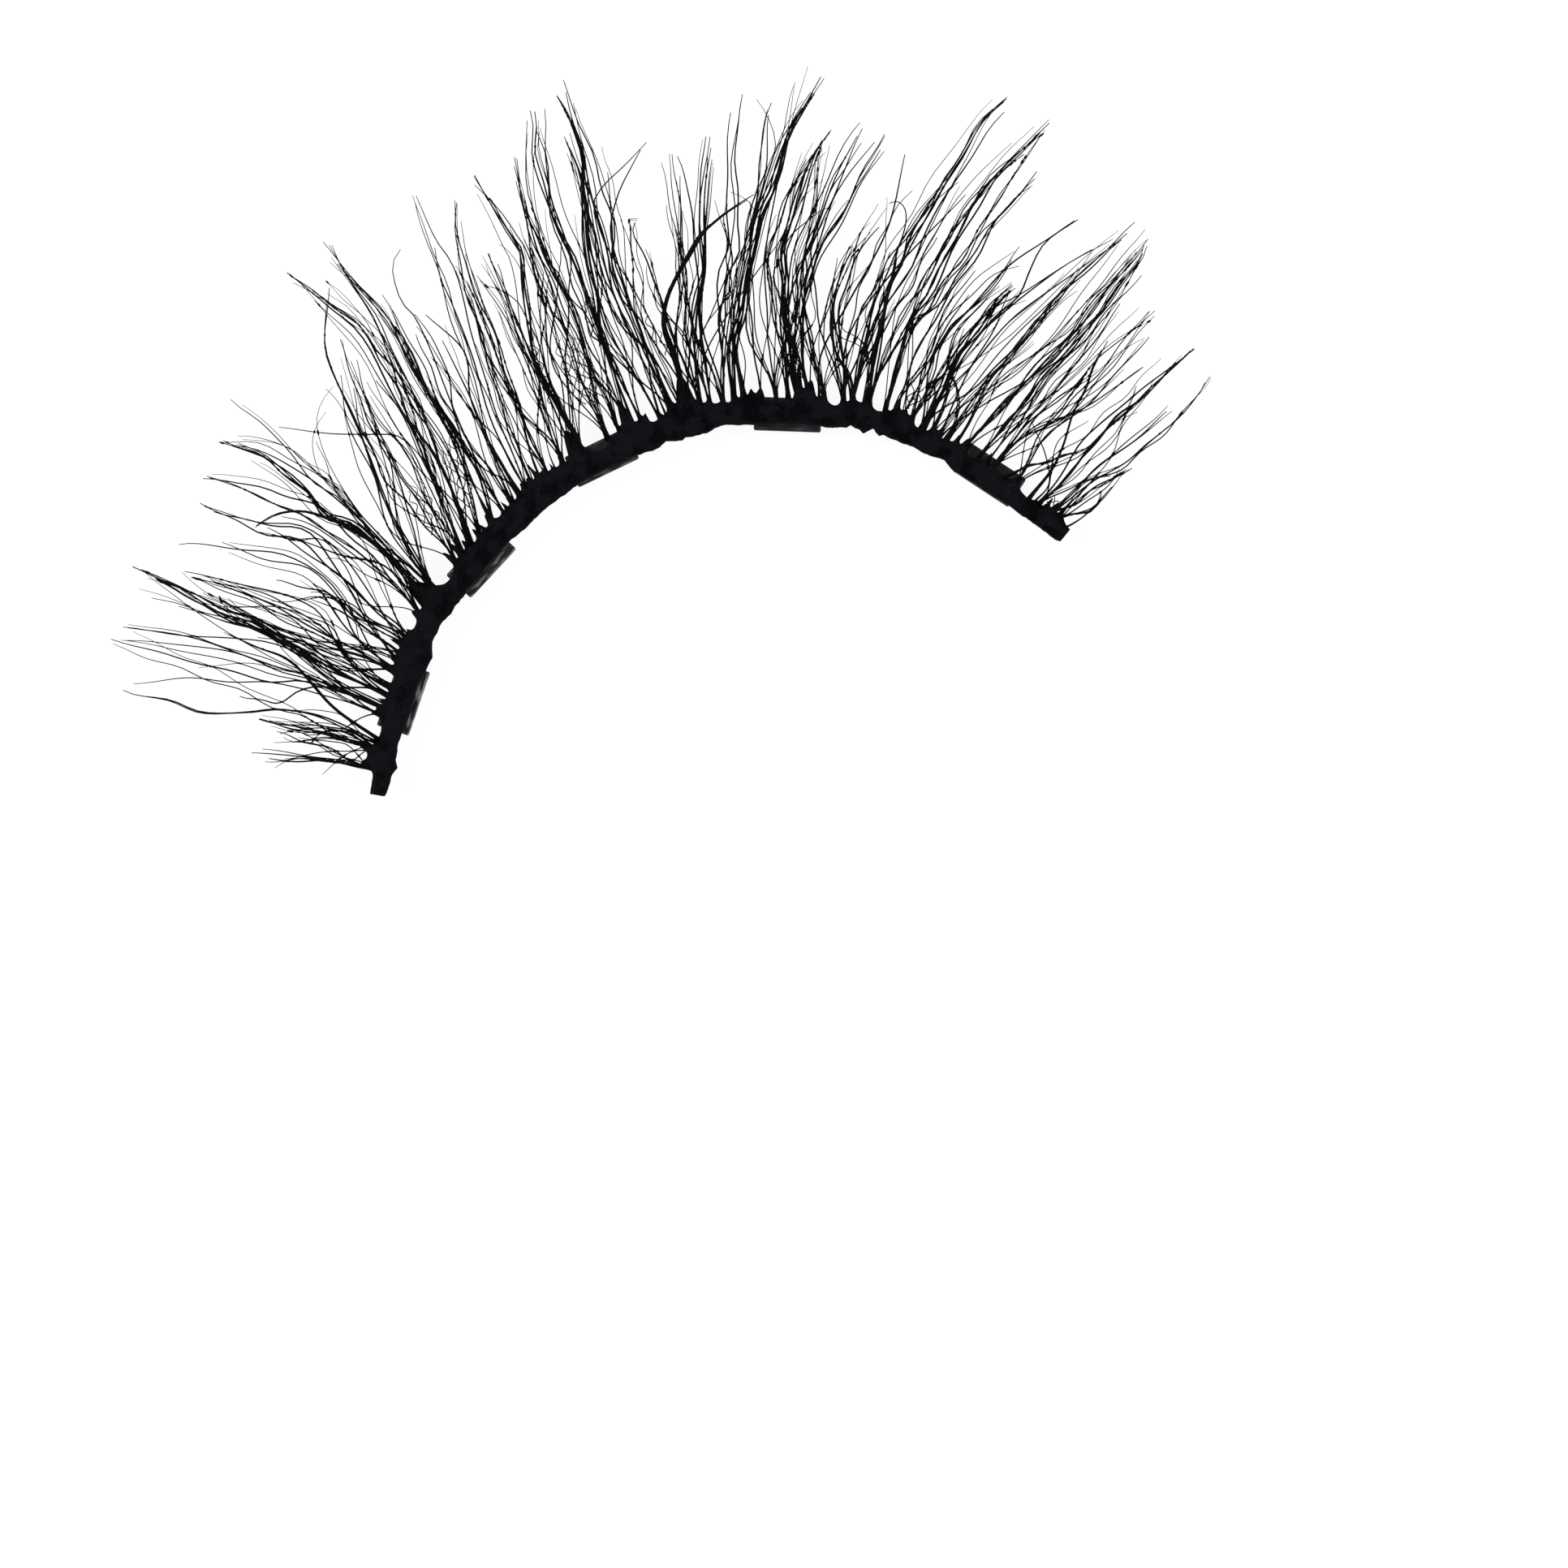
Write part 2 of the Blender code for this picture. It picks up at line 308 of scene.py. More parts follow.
# %% The outer edge
# Distance along the band, width of the bay, offset of its bottom from the middle line
BAYS = (
    (0.63, 0.50, 0.34), (1.35, 0.30, 0.62), (2.22, 0.95, 0.34), (2.97, 0.15, 0.70), (3.20, 0.18, 0.53),
    (3.42, 0.15, 0.46), (3.65, 0.18, 0.46), (4.12, 0.34, 0.40), (4.62, 0.14, 0.62), (4.90, 0.14, 0.66),
    (5.20, 0.18, 0.66), (5.50, 0.15, 0.66), (5.80, 0.18, 0.62), (6.12, 0.50, 0.47), (6.77, 0.25, 0.55),
    (8.12, 0.95, 0.27), (8.89, 0.16, 0.50), (9.25, 0.16, 0.52), (9.69, 0.35, 0.44),
    (10.10, 0.14, 0.48), (10.37, 0.20, 0.47), (10.91, 0.36, 0.42), (11.20, 0.12, 0.47), (11.42, 0.14, 0.48),
    (11.73, 0.28, 0.50), (12.03, 0.22, 0.58), (12.35, 0.12, 0.66), (12.68, 0.16, 0.62), (12.99, 0.28, 0.66),
    (13.27, 0.26, 0.52), (13.58, 0.28, 0.50), (13.98, 0.30, 0.46), (15.16, 0.88, 0.18), (15.77, 0.36, 0.40),
    (16.16, 0.14, 0.70), (16.70, 0.22, 0.58), (17.00, 0.10, 0.68), (17.30, 0.36, 0.36), (17.72, 0.26, 0.47),
    (18.17, 0.20, 0.74), (18.86, 0.14, 0.72), (19.13, 0.20, 0.53), (19.54, 0.36, 0.44), (19.94, 0.26, 0.42),
    (20.34, 0.13, 0.54), (20.62, 0.12, 0.62), (20.90, 0.13, 0.66), (21.40, 0.34, 0.26), (21.84, 0.40, 0.26),
    (22.16, 0.18, 0.40), (22.55, 0.16, 0.80), (23.05, 0.22, 0.52), (23.62, 0.50, 0.28), (24.06, 0.16, 0.47),
    (24.48, 0.30, 0.54), (25.16, 0.46, 0.42), (25.52, 0.22, 0.56), (25.88, 0.16, 0.74), (26.20, 0.14, 0.66),
    (26.62, 0.36, 0.37), (26.95, 0.22, 0.42), (27.30, 0.14, 0.60), (27.60, 0.17, 0.42), (27.90, 0.20, 0.44),
    (28.22, 0.12, 0.50), (28.75, 0.46, 0.27), (29.13, 0.26, 0.41), (29.42, 0.14, 0.40), (30.07, 0.70, 0.34),
    (31.20, 0.86, 0.26), (31.77, 0.18, 0.34), (32.05, 0.12, 0.48), (32.34, 0.15, 0.50), (32.66, 0.16, 0.48),
)
# Distance along the band and reach of the tallest points of glue
TALL_KNOTS = (
    (1.65, 0.98), (3.08, 0.95), (4.42, 1.05), (5.35, 1.10), (7.30, 1.35), (8.72, 1.05), (9.07, 1.10),
    (12.85, 1.25), (14.56, 1.40), (16.42, 1.55), (17.95, 1.30), (18.45, 1.70), (20.48, 1.45), (22.38, 1.70),
    (22.80, 1.10), (23.90, 1.05), (25.70, 1.20), (26.40, 0.95), (27.75, 0.95), (29.28, 0.90), (30.60, 0.72),
    (31.60, 0.75),
)
LOW_KNOT = 0.82
NEAR_KNOT = 0.22
END_REACH = (0.31, 0.30)
# The bay's rounded bottom: its share of the knot's rise, its largest share of the way there, and its curve
FOOT_SHARE, FOOT_MOST, FOOT_POWER = 0.30, 0.9, 2.5


def knot_spans():
    """Where each stretch between two bays starts and ends, and the last one, up to the band's end."""
    ends = [(bay - wide / 2, bay + wide / 2) for bay, wide, _ in BAYS] + [(BAND_LENGTH, 0.0)]
    return [(left[1], right[0]) for left, right in zip(ends, ends[1:])]


def edge_marks():
    """Bays and the knots between them, in turn: rows of distance, reach and width, which is 0 for a knot."""
    marks = [(0.0, END_REACH[0], 0.0)]
    for (bay, wide, low), (start, end) in zip(BAYS, knot_spans()):
        middle = (start + end) / 2
        near = [reach for at, reach in TALL_KNOTS if abs(at - middle) < NEAR_KNOT]
        marks += [(bay, low, wide), (middle, near[0] if near else LOW_KNOT, 0.0)]
    marks[-1] = (BAND_LENGTH, END_REACH[1], 0.0)
    return marks


MARKS = edge_marks()


def edge_reach(distance):
    """How far the outer edge lies from the middle line: low in a bay, and rising steeply to each knot."""
    for (bay, low, wide), (knot, high, knot_wide) in zip(MARKS, MARKS[1:]):
        if distance <= knot:
            break
    if knot_wide:
        bay, low, wide, knot, high = knot, high, knot_wide, bay, low
    share = min(1.0, abs(distance - bay) / abs(knot - bay))
    foot = min(FOOT_MOST, wide / 2 / abs(knot - bay))
    if share < foot:
        return low + (high - low) * FOOT_SHARE * (share / foot) ** FOOT_POWER
    wall = math.sin(math.pi / 2 * (share - foot) / (1 - foot))
    return low + (high - low) * (FOOT_SHARE + (1 - FOOT_SHARE) * wall)


print(len(BAYS), "bays, the widest", max(row[1] for row in BAYS), "mm")

# %% [markdown]
# ## The inner edge
# Along the eye the band was cut with scissors and is stepped where the glue has run over the magnets. The
# steps are points read off the photograph, and each is turned into a distance and an offset here. Where none
# was read, the edge follows the band's plain width.

# %% Steps of the inner edge
INNER_STEPS = (
    (-11.55, -8.50), (-11.25, -8.20), (-11.00, -7.85), (-10.75, -7.75), (-10.70, -7.40), (-10.50, -7.15),
    (-10.45, -6.95), (-10.20, -6.68), (-8.50, -4.75), (-8.20, -4.50), (-8.00, -4.00), (-7.50, -3.50),
    (-7.00, -3.25), (1.30, -0.40), (1.60, -0.37), (1.80, -0.42), (2.00, -0.37), (2.30, -0.32), (2.60, -0.40),
    (2.85, -0.47), (3.10, -0.40), (3.30, -0.47), (3.60, -0.50), (4.20, -0.52), (4.50, -0.50), (7.75, -1.83),
    (8.55, -2.15), (8.75, -2.10), (8.85, -2.30), (9.00, -2.55), (9.20, -2.55), (9.35, -2.48), (9.45, -2.80),
    (9.70, -2.90), (10.00, -3.20), (10.50, -3.60), (10.80, -4.00), (11.40, -4.50), (11.50, -4.90),
)
FREE_GAP, FREE_STRIDE = 0.7, 0.35
INNER_END = -0.24


def measured_inner():
    """Rows of distance and offset: the measured steps, and the plain width where none was read."""
    rows = []
    for x, y in INNER_STEPS:
        away = np.hypot(LINE[:, 0] - x, LINE[:, 1] - y)
        rows.append((LINE_AT[away.argmin()], -away.min()))
    strides = np.arange(0.0, BAND_LENGTH, FREE_STRIDE)
    free = [at for at in strides if min(abs(at - row[0]) for row in rows) > FREE_GAP]
    rows += [(at, -float(half_width(at))) for at in free] + [(BAND_LENGTH, INNER_END)]
    return np.array(sorted(rows))


INNER = measured_inner()
print("inner edge between", INNER[:, 1].min().round(2), "and", INNER[:, 1].max().round(2), "mm")

# %% [markdown]
# ## The band
# The band is a flat ribbon of cotton, so it could be extruded along a curve. Its edge changes all the way,
# though. So it starts as a straight bar, cut across into many short lengths, which is given its section one
# cut at a time and laid along the line.


# %% A straight bar, cut across
def mode(name):
    bpy.ops.object.mode_set(mode=name)


def cut_bar(name, sides, *cuts):
    """A closed bar from z = 0 to 1, with this many sides. Each number of cuts divides its lengths again."""
    nothing_selected()
    bpy.ops.mesh.primitive_cylinder_add(vertices=sides, radius=1.0, depth=1.0, location=(0, 0, 0.5))
    bar = bpy.context.active_object
    bar.name = bar.data.name = name
    bpy.ops.object.transform_apply(location=True, rotation=True, scale=True)
    for number in cuts:
        mode("EDIT")
        bpy.ops.mesh.select_mode(type="EDGE")
        bpy.ops.mesh.select_all(action="DESELECT")
        mode("OBJECT")
        for edge in bar.data.edges:
            first, second = (bar.data.vertices[k].co for k in edge.vertices)
            edge.select = abs(first.z - second.z) > 1e-6
        mode("EDIT")
        bpy.ops.mesh.subdivide(number_cuts=number)
        mode("OBJECT")
    return bar


def corners(obj):
    found = np.empty(len(obj.data.vertices) * 3)
    obj.data.vertices.foreach_get("co", found)
    return found.reshape(-1, 3)


def put_corners(obj, places):
    """Moves the mesh's corners to these places, which are in millimetres."""
    obj.data.vertices.foreach_set("co", (np.asarray(places) * MM).ravel())
    obj.data.update()


BAND_SIDES = 20
BAND_CUTS = (31, 22)
band = cut_bar("lash_band", BAND_SIDES, *BAND_CUTS)
print("the bar has", len(band.data.vertices), "corners and", len(band.data.polygons), "faces")

# %% [markdown]
# ## The band's section
# Half of the section is a crowned bar, where glue has filled the cotton. The other half is a thin web of
# glue and knots that runs out to the edge found above. Noise moves the surface in and out, coarse for the
# lumps of glue and fine for the threads under it.

# %% Shape the section and lay the bar along the line
# Half of the section from the web's edge to the band's inner edge: is it web, share of the way, height
SECTION = (
    (1, 1.00, 0.00), (1, 0.93, 0.15), (1, 0.66, 0.23), (1, 0.28, 0.38), (0, 1.00, 0.70), (0, 0.88, 0.95),
    (0, 0.62, 1.03), (0, 0.36, 1.00), (0, 0.13, 0.88), (0, 0.02, 0.50), (0, 0.00, 0.00),
)
WEB_STARTS = 0.40
WEB_SHORTEST = 0.10
INNER_ROUGH, OUTER_ROUGH, END_ROUGH = 0.4, 0.3, 0.05
INNER_PLACE, OUTER_PLACE = (0.0, 3.1), (5.0, 7.7)
EDGE_LUMPS = ((1.1, 0.11), (2.6, 0.10), (6.5, 0.05))
FACE_LUMPS = ((1.3, 0.035), (4.0, 0.020), (11.0, 0.008))


def lumps(x, y, z, sizes):
    """Noise at this place, as a sum over rows of how often it changes in a millimetre and how deep it is."""
    return sum(deep * noise.noise(Vector((x * often, y * often, z))) for often, deep in sizes)


bar_corners = corners(band)
laid = np.empty_like(bar_corners)
for k, (x, y, z) in enumerate(bar_corners):
    distance = z * BAND_LENGTH
    turn = math.atan2(y, x) / math.tau * BAND_SIDES
    on_web, share, height = SECTION[round(abs(turn))]
    inner = np.interp(distance, *INNER.T) - INNER_ROUGH * lumps(distance, *INNER_PLACE, EDGE_LUMPS)
    reach = edge_reach(distance) + OUTER_ROUGH * lumps(distance, *OUTER_PLACE, EDGE_LUMPS)
    start_web = min(WEB_STARTS * half_width(distance) * 2, reach - WEB_SHORTEST)
    offset = start_web + (reach - start_web) * share if on_web else inner + (start_web - inner) * share
    side = math.copysign(1.0, turn)
    rise = HALF_THICK * height + height * lumps(distance, offset * 1.2, side * 4.0, FACE_LUMPS)
    ragged = END_ROUGH * lumps(offset * 2.0, distance, side, ((3.0, 1.0),)) if z in (0.0, 1.0) else 0.0
    laid[k, :2] = on_band(distance + ragged, offset)
    laid[k, 2] = MID_HEIGHT + side * rise
put_corners(band, laid)


def strip_map(obj, distances, arounds):
    """A UV map in millimetres along and across a piece, for what follows its length in the finish."""
    layer = obj.data.uv_layers.new(name="strip")
    for loop in obj.data.loops:
        layer.data[loop.index].uv = (distances[loop.vertex_index], arounds[loop.vertex_index])


strip_map(band, bar_corners[:, 2] * BAND_LENGTH, np.abs(np.arctan2(bar_corners[:, 1], bar_corners[:, 0])))

nothing_selected()
band.select_set(True)
bpy.context.view_layer.objects.active = band
mode("EDIT")
bpy.ops.mesh.select_all(action="SELECT")
bpy.ops.mesh.normals_make_consistent(inside=False)
mode("OBJECT")
band.data.shade_smooth()
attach(band, "root")
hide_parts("band")
print("band from", [round(v, 2) for v in laid.min(axis=0)], "to", [round(v, 2) for v in laid.max(axis=0)])

# %% [markdown]
# ## The magnets
# Each magnet is a small coated block. One block is shaped by hand, with its edges rounded by a bevel, and
# the five are copies of it, turned to follow the band.

# %% One block, five copies
MAGNETS = (
    (-9.69, -5.49, 50.2), (-5.35, -1.93, 26.2), (0.00, 0.00, 4.7), (6.75, -0.94, -23.0),
    (12.69, -5.52, -54.4),
)
MAGNET_SIZE = (2.4, 1.2, 0.6)
MAGNET_ROUND = 0.07
DENT_DEPTH, DENT_OFTEN = 0.006, 2.2
RIM_WIDTH, RIM_DEPTH = 0.05, 0.008
FLAT_AREA, FLAT_CUTS = 0.3, 6
# Steps from magnet to magnet in the noise, so that no two are alike
DENT_STEP, MAP_STEP = 9.0, 7.0
# How much dried glue shows on each of them
SMEARS = (1.0, 0.75, 0.5, 0.15, 0.3)

nothing_selected()
bpy.ops.mesh.primitive_cube_add(size=1.0)
block = bpy.context.active_object
block.scale = Vector(MAGNET_SIZE) * MM
bpy.ops.object.transform_apply(location=False, rotation=False, scale=True)
mode("EDIT")
bpy.ops.mesh.select_all(action="SELECT")
bpy.ops.mesh.bevel(offset=MAGNET_ROUND * MM, segments=3, affect="EDGES")
bpy.ops.mesh.select_all(action="DESELECT")
mode("OBJECT")
for face in block.data.polygons:
    face.select = face.area > FLAT_AREA * MM * MM and abs(face.normal.z) > 0.9
mode("EDIT")
bpy.ops.mesh.inset(thickness=RIM_WIDTH * MM, depth=-RIM_DEPTH * MM, use_individual=True)
bpy.ops.mesh.subdivide(number_cuts=FLAT_CUTS)
mode("OBJECT")
block_corners = corners(block) / MM

magnets = []
for number, (x, y, turn) in enumerate(MAGNETS, 1):
    magnet = block.copy()
    magnet.data = block.data.copy()
    magnet.name = magnet.data.name = f"magnet_block_{number}"
    bpy.context.scene.collection.objects.link(magnet)
    angle = math.radians(turn)
    shift = Vector((number * DENT_STEP, 0, 0))
    dents = [DENT_DEPTH * noise.noise(Vector(c) * DENT_OFTEN + shift) for c in block_corners]
    shaped = block_corners + np.array([(d, d, d if c[2] > 0 else 0.0) for d, c in zip(dents, block_corners)])
    flat = shaped[:, :2] @ np.array([[math.cos(angle), math.sin(angle)], [-math.sin(angle), math.cos(angle)]])
    put_corners(magnet, np.c_[flat + (x, y), shaped[:, 2] + MAGNET_SIZE[2] / 2])
    strip_map(magnet, block_corners[:, 0] + number * MAP_STEP, block_corners[:, 1])
    smear = magnet.data.attributes.new("smear", "FLOAT", "POINT")
    smear.data.foreach_set("value", np.full(len(block_corners), SMEARS[number - 1]))
    magnet.data.shade_smooth()
    magnet.data.set_sharp_from_angle(angle=math.radians(40))
    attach(magnet, "root")
    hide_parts(f"magnet_{number}")
    magnets.append(magnet)
bpy.data.objects.remove(block)
print(len(magnets), "magnets of", MAGNET_SIZE, "mm")

# %% [markdown]
# ## The wisps
# The hairs gather into pointed wisps of different lengths, and that uneven fan is what one sees first. So
# each wisp is measured: where its root is on the band, how many loose hairs it has, how many more stick
# together in a dark core, and the points that it passes, up to its tip. Further tips are those of hairs that
# leave the wisp near its end.

# %% Wisps from left to right
# Distance of the root along the band, loose hairs, hairs in the core, points to the tip, other tips
WISPS = (
    (1.08, 7, 0, ((-12.7, -6.6), (-13.9, -6.2), (-15.1, -5.8)), ((-15.2, -5.4), (-14.6, -6.1))),
    (1.63, 12, 3, ((-12.6, -5.7), (-13.4, -5.2), (-14.7, -4.3)),
     ((-14.5, -4.9), (-14.3, -5.2), (-14.0, -5.6))),
    (2.86, 9, 1, ((-12.6, -3.95), (-13.8, -3.35), (-14.5, -2.85), (-16.0, -1.75), (-17.0, -1.05),
     (-18.6, 0.1)), ((-18.15, 0.6), (-18.5, -1.6))),
    (3.55, 16, 4, ((-11.9, -3.3), (-12.9, -2.1), (-13.6, -1.2), (-14.5, -0.4), (-15.3, 0.5), (-15.8, 1.2),
     (-16.9, 2.3)), ((-16.7, 1.85), (-17.5, 1.6))),
    (4.30, 14, 1, ((-11.4, -2.9), (-12.5, -1.7), (-13.4, -0.6), (-14.2, 0.3), (-15.0, 1.2)),
     ((-14.6, 0.1), (-15.6, 1.9))),
    (5.04, 12, 1, ((-10.2, -2.4), (-10.6, -1.3), (-11.3, 0.0), (-12.6, 0.9), (-13.7, 2.0)),
     ((-15.2, 2.5), (-12.9, -0.2), (-12.6, 0.3))),
    (5.70, 7, 1, ((-9.9, -1.3), (-11.1, 0.9), (-12.1, 1.6), (-12.7, 2.1), (-13.9, 3.5)), ((-12.5, 1.9),)),
    (6.60, 3, 1, ((-8.7, -0.8), (-9.4, 0.8), (-10.2, 2.2), (-11.1, 2.85), (-12.5, 3.9), (-13.4, 4.35)), ()),
    (7.00, 6, 4, ((-8.3, -0.5), (-9.1, 0.9), (-9.9, 1.6), (-10.2, 2.6), (-11.0, 4.0), (-11.4, 4.5),
     (-12.4, 5.3)), ((-11.9, 5.35),)),
    (7.40, 3, 1, ((-8.6, 0.6), (-9.2, 2.0), (-9.7, 2.8), (-10.1, 3.6), (-10.4, 4.8), (-11.2, 6.0),
     (-11.5, 6.5)), ((-9.9, 3.9), (-9.2, 4.5))),
    (7.95, 3, 1, ((-7.75, 0.4), (-7.85, 2.5), (-7.9, 4.6), (-7.5, 5.9)), ((-8.4, 5.1), (-7.2, 6.0))),
    (8.60, 13, 1, ((-6.7, 0.6), (-7.0, 2.6), (-7.3, 4.6), (-7.2, 7.2)), ((-6.9, 6.6), (-7.9, 6.0))),
    (9.15, 11, 2, ((-5.9, 2.0), (-6.05, 4.3), (-6.4, 7.0), (-7.0, 8.3), (-8.0, 10.0)),
     ((-7.1, 9.7), (-7.4, 9.5))),
    (10.23, 12, 1, ((-4.5, 1.8), (-5.1, 4.6), (-5.35, 7.2), (-5.9, 8.8), (-6.3, 9.9), (-6.5, 10.5)),
     ((-6.7, 10.4),)),
    (11.46, 12, 1, ((-4.2, 2.0), (-4.6, 3.9), (-4.75, 6.0), (-5.1, 8.0)), ((-4.4, 7.2), (-4.9, 6.6))),
    (12.29, 9, 1, ((-2.9, 4.2), (-2.6, 7.0), (-2.55, 8.3), (-2.75, 9.3), (-2.85, 10.9)),
     ((-2.85, 9.0), (-3.6, 6.6))),
    (13.27, 9, 1, ((-2.1, 3.0), (-2.1, 6.0), (-2.15, 7.8), (-1.9, 9.2), (-1.5, 10.3)), ()),
    (13.98, 8, 2, ((-1.1, 3.0), (-1.15, 6.2), (-1.3, 8.1)), ((-1.6, 7.7), (-0.8, 8.2))),
    (14.56, 9, 3, ((-0.9, 3.0), (-0.9, 4.5), (-0.35, 6.5), (0.0, 7.8), (-0.1, 8.3), (-0.65, 10.8)),
     ((1.5, 9.3), (0.15, 9.2))),
    (15.60, 7, 0, ((0.4, 2.0), (0.3, 3.6), (0.4, 5.2), (0.3, 6.8), (0.6, 8.2), (0.65, 9.5)), ()),
    (16.24, 6, 2, ((1.1, 2.0), (0.95, 3.5), (1.0, 5.0), (0.7, 7.5), (0.65, 9.5), (0.95, 11.0)),
     ((0.4, 8.3),)),
    (16.54, 6, 2, ((1.55, 3.5), (1.5, 5.0), (1.45, 7.0), (1.3, 8.5), (1.55, 10.7), (2.0, 11.6), (2.2, 12.2)),
     ()),
    (17.00, 5, 4, ((1.6, 4.0), (1.8, 5.5), (2.1, 6.8), (2.4, 8.0), (2.9, 9.3), (3.3, 10.2), (3.3, 11.5),
     (3.15, 12.4)), ()),
    (17.88, 5, 1, ((2.9, 2.5), (2.5, 4.4), (2.5, 6.4), (2.75, 8.0), (2.9, 10.0), (2.8, 11.0)), ()),
    (18.31, 7, 1, ((3.1, 2.9), (3.0, 4.9), (3.0, 6.3), (3.4, 7.5), (3.5, 9.0), (3.6, 10.3), (3.5, 11.7),
     (3.55, 12.75)), ((3.9, 10.7),)),
    (18.80, 5, 1, ((3.9, 4.6), (4.0, 6.0), (3.9, 7.0), (4.15, 7.4)), ()),
    (19.10, 11, 1, ((4.3, 3.3), (5.0, 5.0), (5.5, 6.6), (6.2, 9.2)), ((6.2, 8.5), (5.4, 7.6))),
    (19.55, 9, 1, ((5.0, 3.6), (5.8, 5.0), (6.2, 6.5), (6.9, 8.0), (7.6, 9.25)), ((7.6, 8.55),)),
    (20.00, 6, 1, ((6.4, 4.0), (7.2, 5.0), (7.6, 6.0), (8.2, 8.0), (8.7, 9.2), (9.2, 10.1)), ((7.4, 7.2),)),
    (20.45, 4, 6, ((5.9, 2.0), (6.6, 3.0), (7.1, 3.9), (7.7, 5.0), (8.4, 6.0), (9.1, 6.7), (10.2, 8.1),
     (10.7, 8.6), (11.5, 9.2), (12.1, 9.6)), ()),
    (21.00, 5, 1, ((6.6, 2.4), (7.4, 4.6), (8.8, 7.3), (9.5, 8.9), (10.0, 9.55)),
     ((11.2, 9.9), (11.85, 10.0))),
    (22.30, 15, 5, ((7.9, 2.2), (8.4, 3.5), (8.7, 4.5), (9.1, 5.0), (9.8, 5.9), (10.8, 7.2), (11.7, 7.85)),
     ((11.4, 7.5),)),
    (22.95, 14, 3, ((8.3, 1.4), (9.3, 3.4), (10.3, 4.4), (11.6, 5.4), (12.5, 6.2), (13.5, 6.95)),
     ((13.05, 7.7), (11.5, 6.6), (11.1, 5.6))),
    (23.92, 12, 1, ((9.8, 1.6), (10.3, 2.4), (11.0, 3.4), (12.1, 4.1)), ((13.0, 4.9),)),
    (24.48, 11, 4, ((10.9, 0.9), (11.8, 2.0), (12.5, 2.6), (13.1, 3.3), (13.9, 3.9), (14.6, 4.4), (15.7, 5.3),
     (16.5, 6.0), (17.0, 6.3), (17.9, 6.65)), ((18.1, 7.1), (15.7, 4.8), (13.8, 4.9))),
    (25.47, 8, 3, ((11.9, 0.4), (12.9, 1.2), (13.7, 1.95), (14.8, 2.9), (15.7, 3.65), (16.5, 4.2),
     (17.5, 4.6), (18.7, 5.15), (19.1, 5.3)), ()),
    (25.85, 5, 1, ((12.2, -0.2), (13.6, 1.0), (14.9, 1.9), (15.7, 2.5), (16.3, 2.9), (18.0, 3.7)), ()),
    (26.40, 9, 1, ((12.1, -1.5), (12.5, -0.8), (13.0, -0.3), (13.5, 0.1), (15.2, 0.8), (16.4, 1.6)),
     ((16.5, 1.15), (18.8, 1.75))),
    (26.92, 13, 5, ((12.3, -2.1), (13.2, -1.1), (14.3, -0.5), (15.0, 0.0), (15.9, 0.4)),
     ((19.7, 0.65), (16.2, 0.0))),
    (27.62, 12, 1, ((13.5, -2.4), (14.8, -1.8), (16.3, -1.1), (17.5, -0.45), (19.0, 0.15), (20.2, 0.7)),
     ((20.9, 1.1),)),
    (28.26, 7, 1, ((14.0, -3.2), (15.3, -2.6), (17.2, -1.8), (18.2, -1.2), (20.5, -0.1)), ((21.2, 0.5),)),
    (29.13, 8, 4, ((14.2, -4.0), (15.0, -3.5), (16.0, -2.8), (17.4, -2.2), (19.0, -1.2), (20.3, -0.5),
     (20.8, 0.0)), ()),
    (29.73, 7, 1, ((14.5, -4.4), (16.0, -3.85), (17.5, -3.1), (18.2, -2.85), (20.2, -2.3)), ((19.9, -2.15),)),
    (30.30, 4, 1, ((14.7, -4.9), (16.0, -4.55), (17.0, -4.3), (18.3, -3.7), (19.7, -3.05)), ((19.3, -3.8),)),
    (31.57, 6, 3, ((15.5, -6.4), (16.4, -5.95), (17.5, -5.35), (18.7, -5.0), (20.9, -3.95)), ((20.2, -3.8),)),
    (32.15, 5, 1, ((16.0, -7.0), (17.5, -6.6), (19.0, -6.15), (20.5, -5.6), (21.3, -5.2)), ()),
    (32.44, 5, 0, ((15.6, -7.35), (16.7, -7.15), (17.5, -7.05)), ()),
    (32.83, 5, 0, ((16.0, -7.8), (17.3, -7.2)), ((16.2, -7.55),)),
)
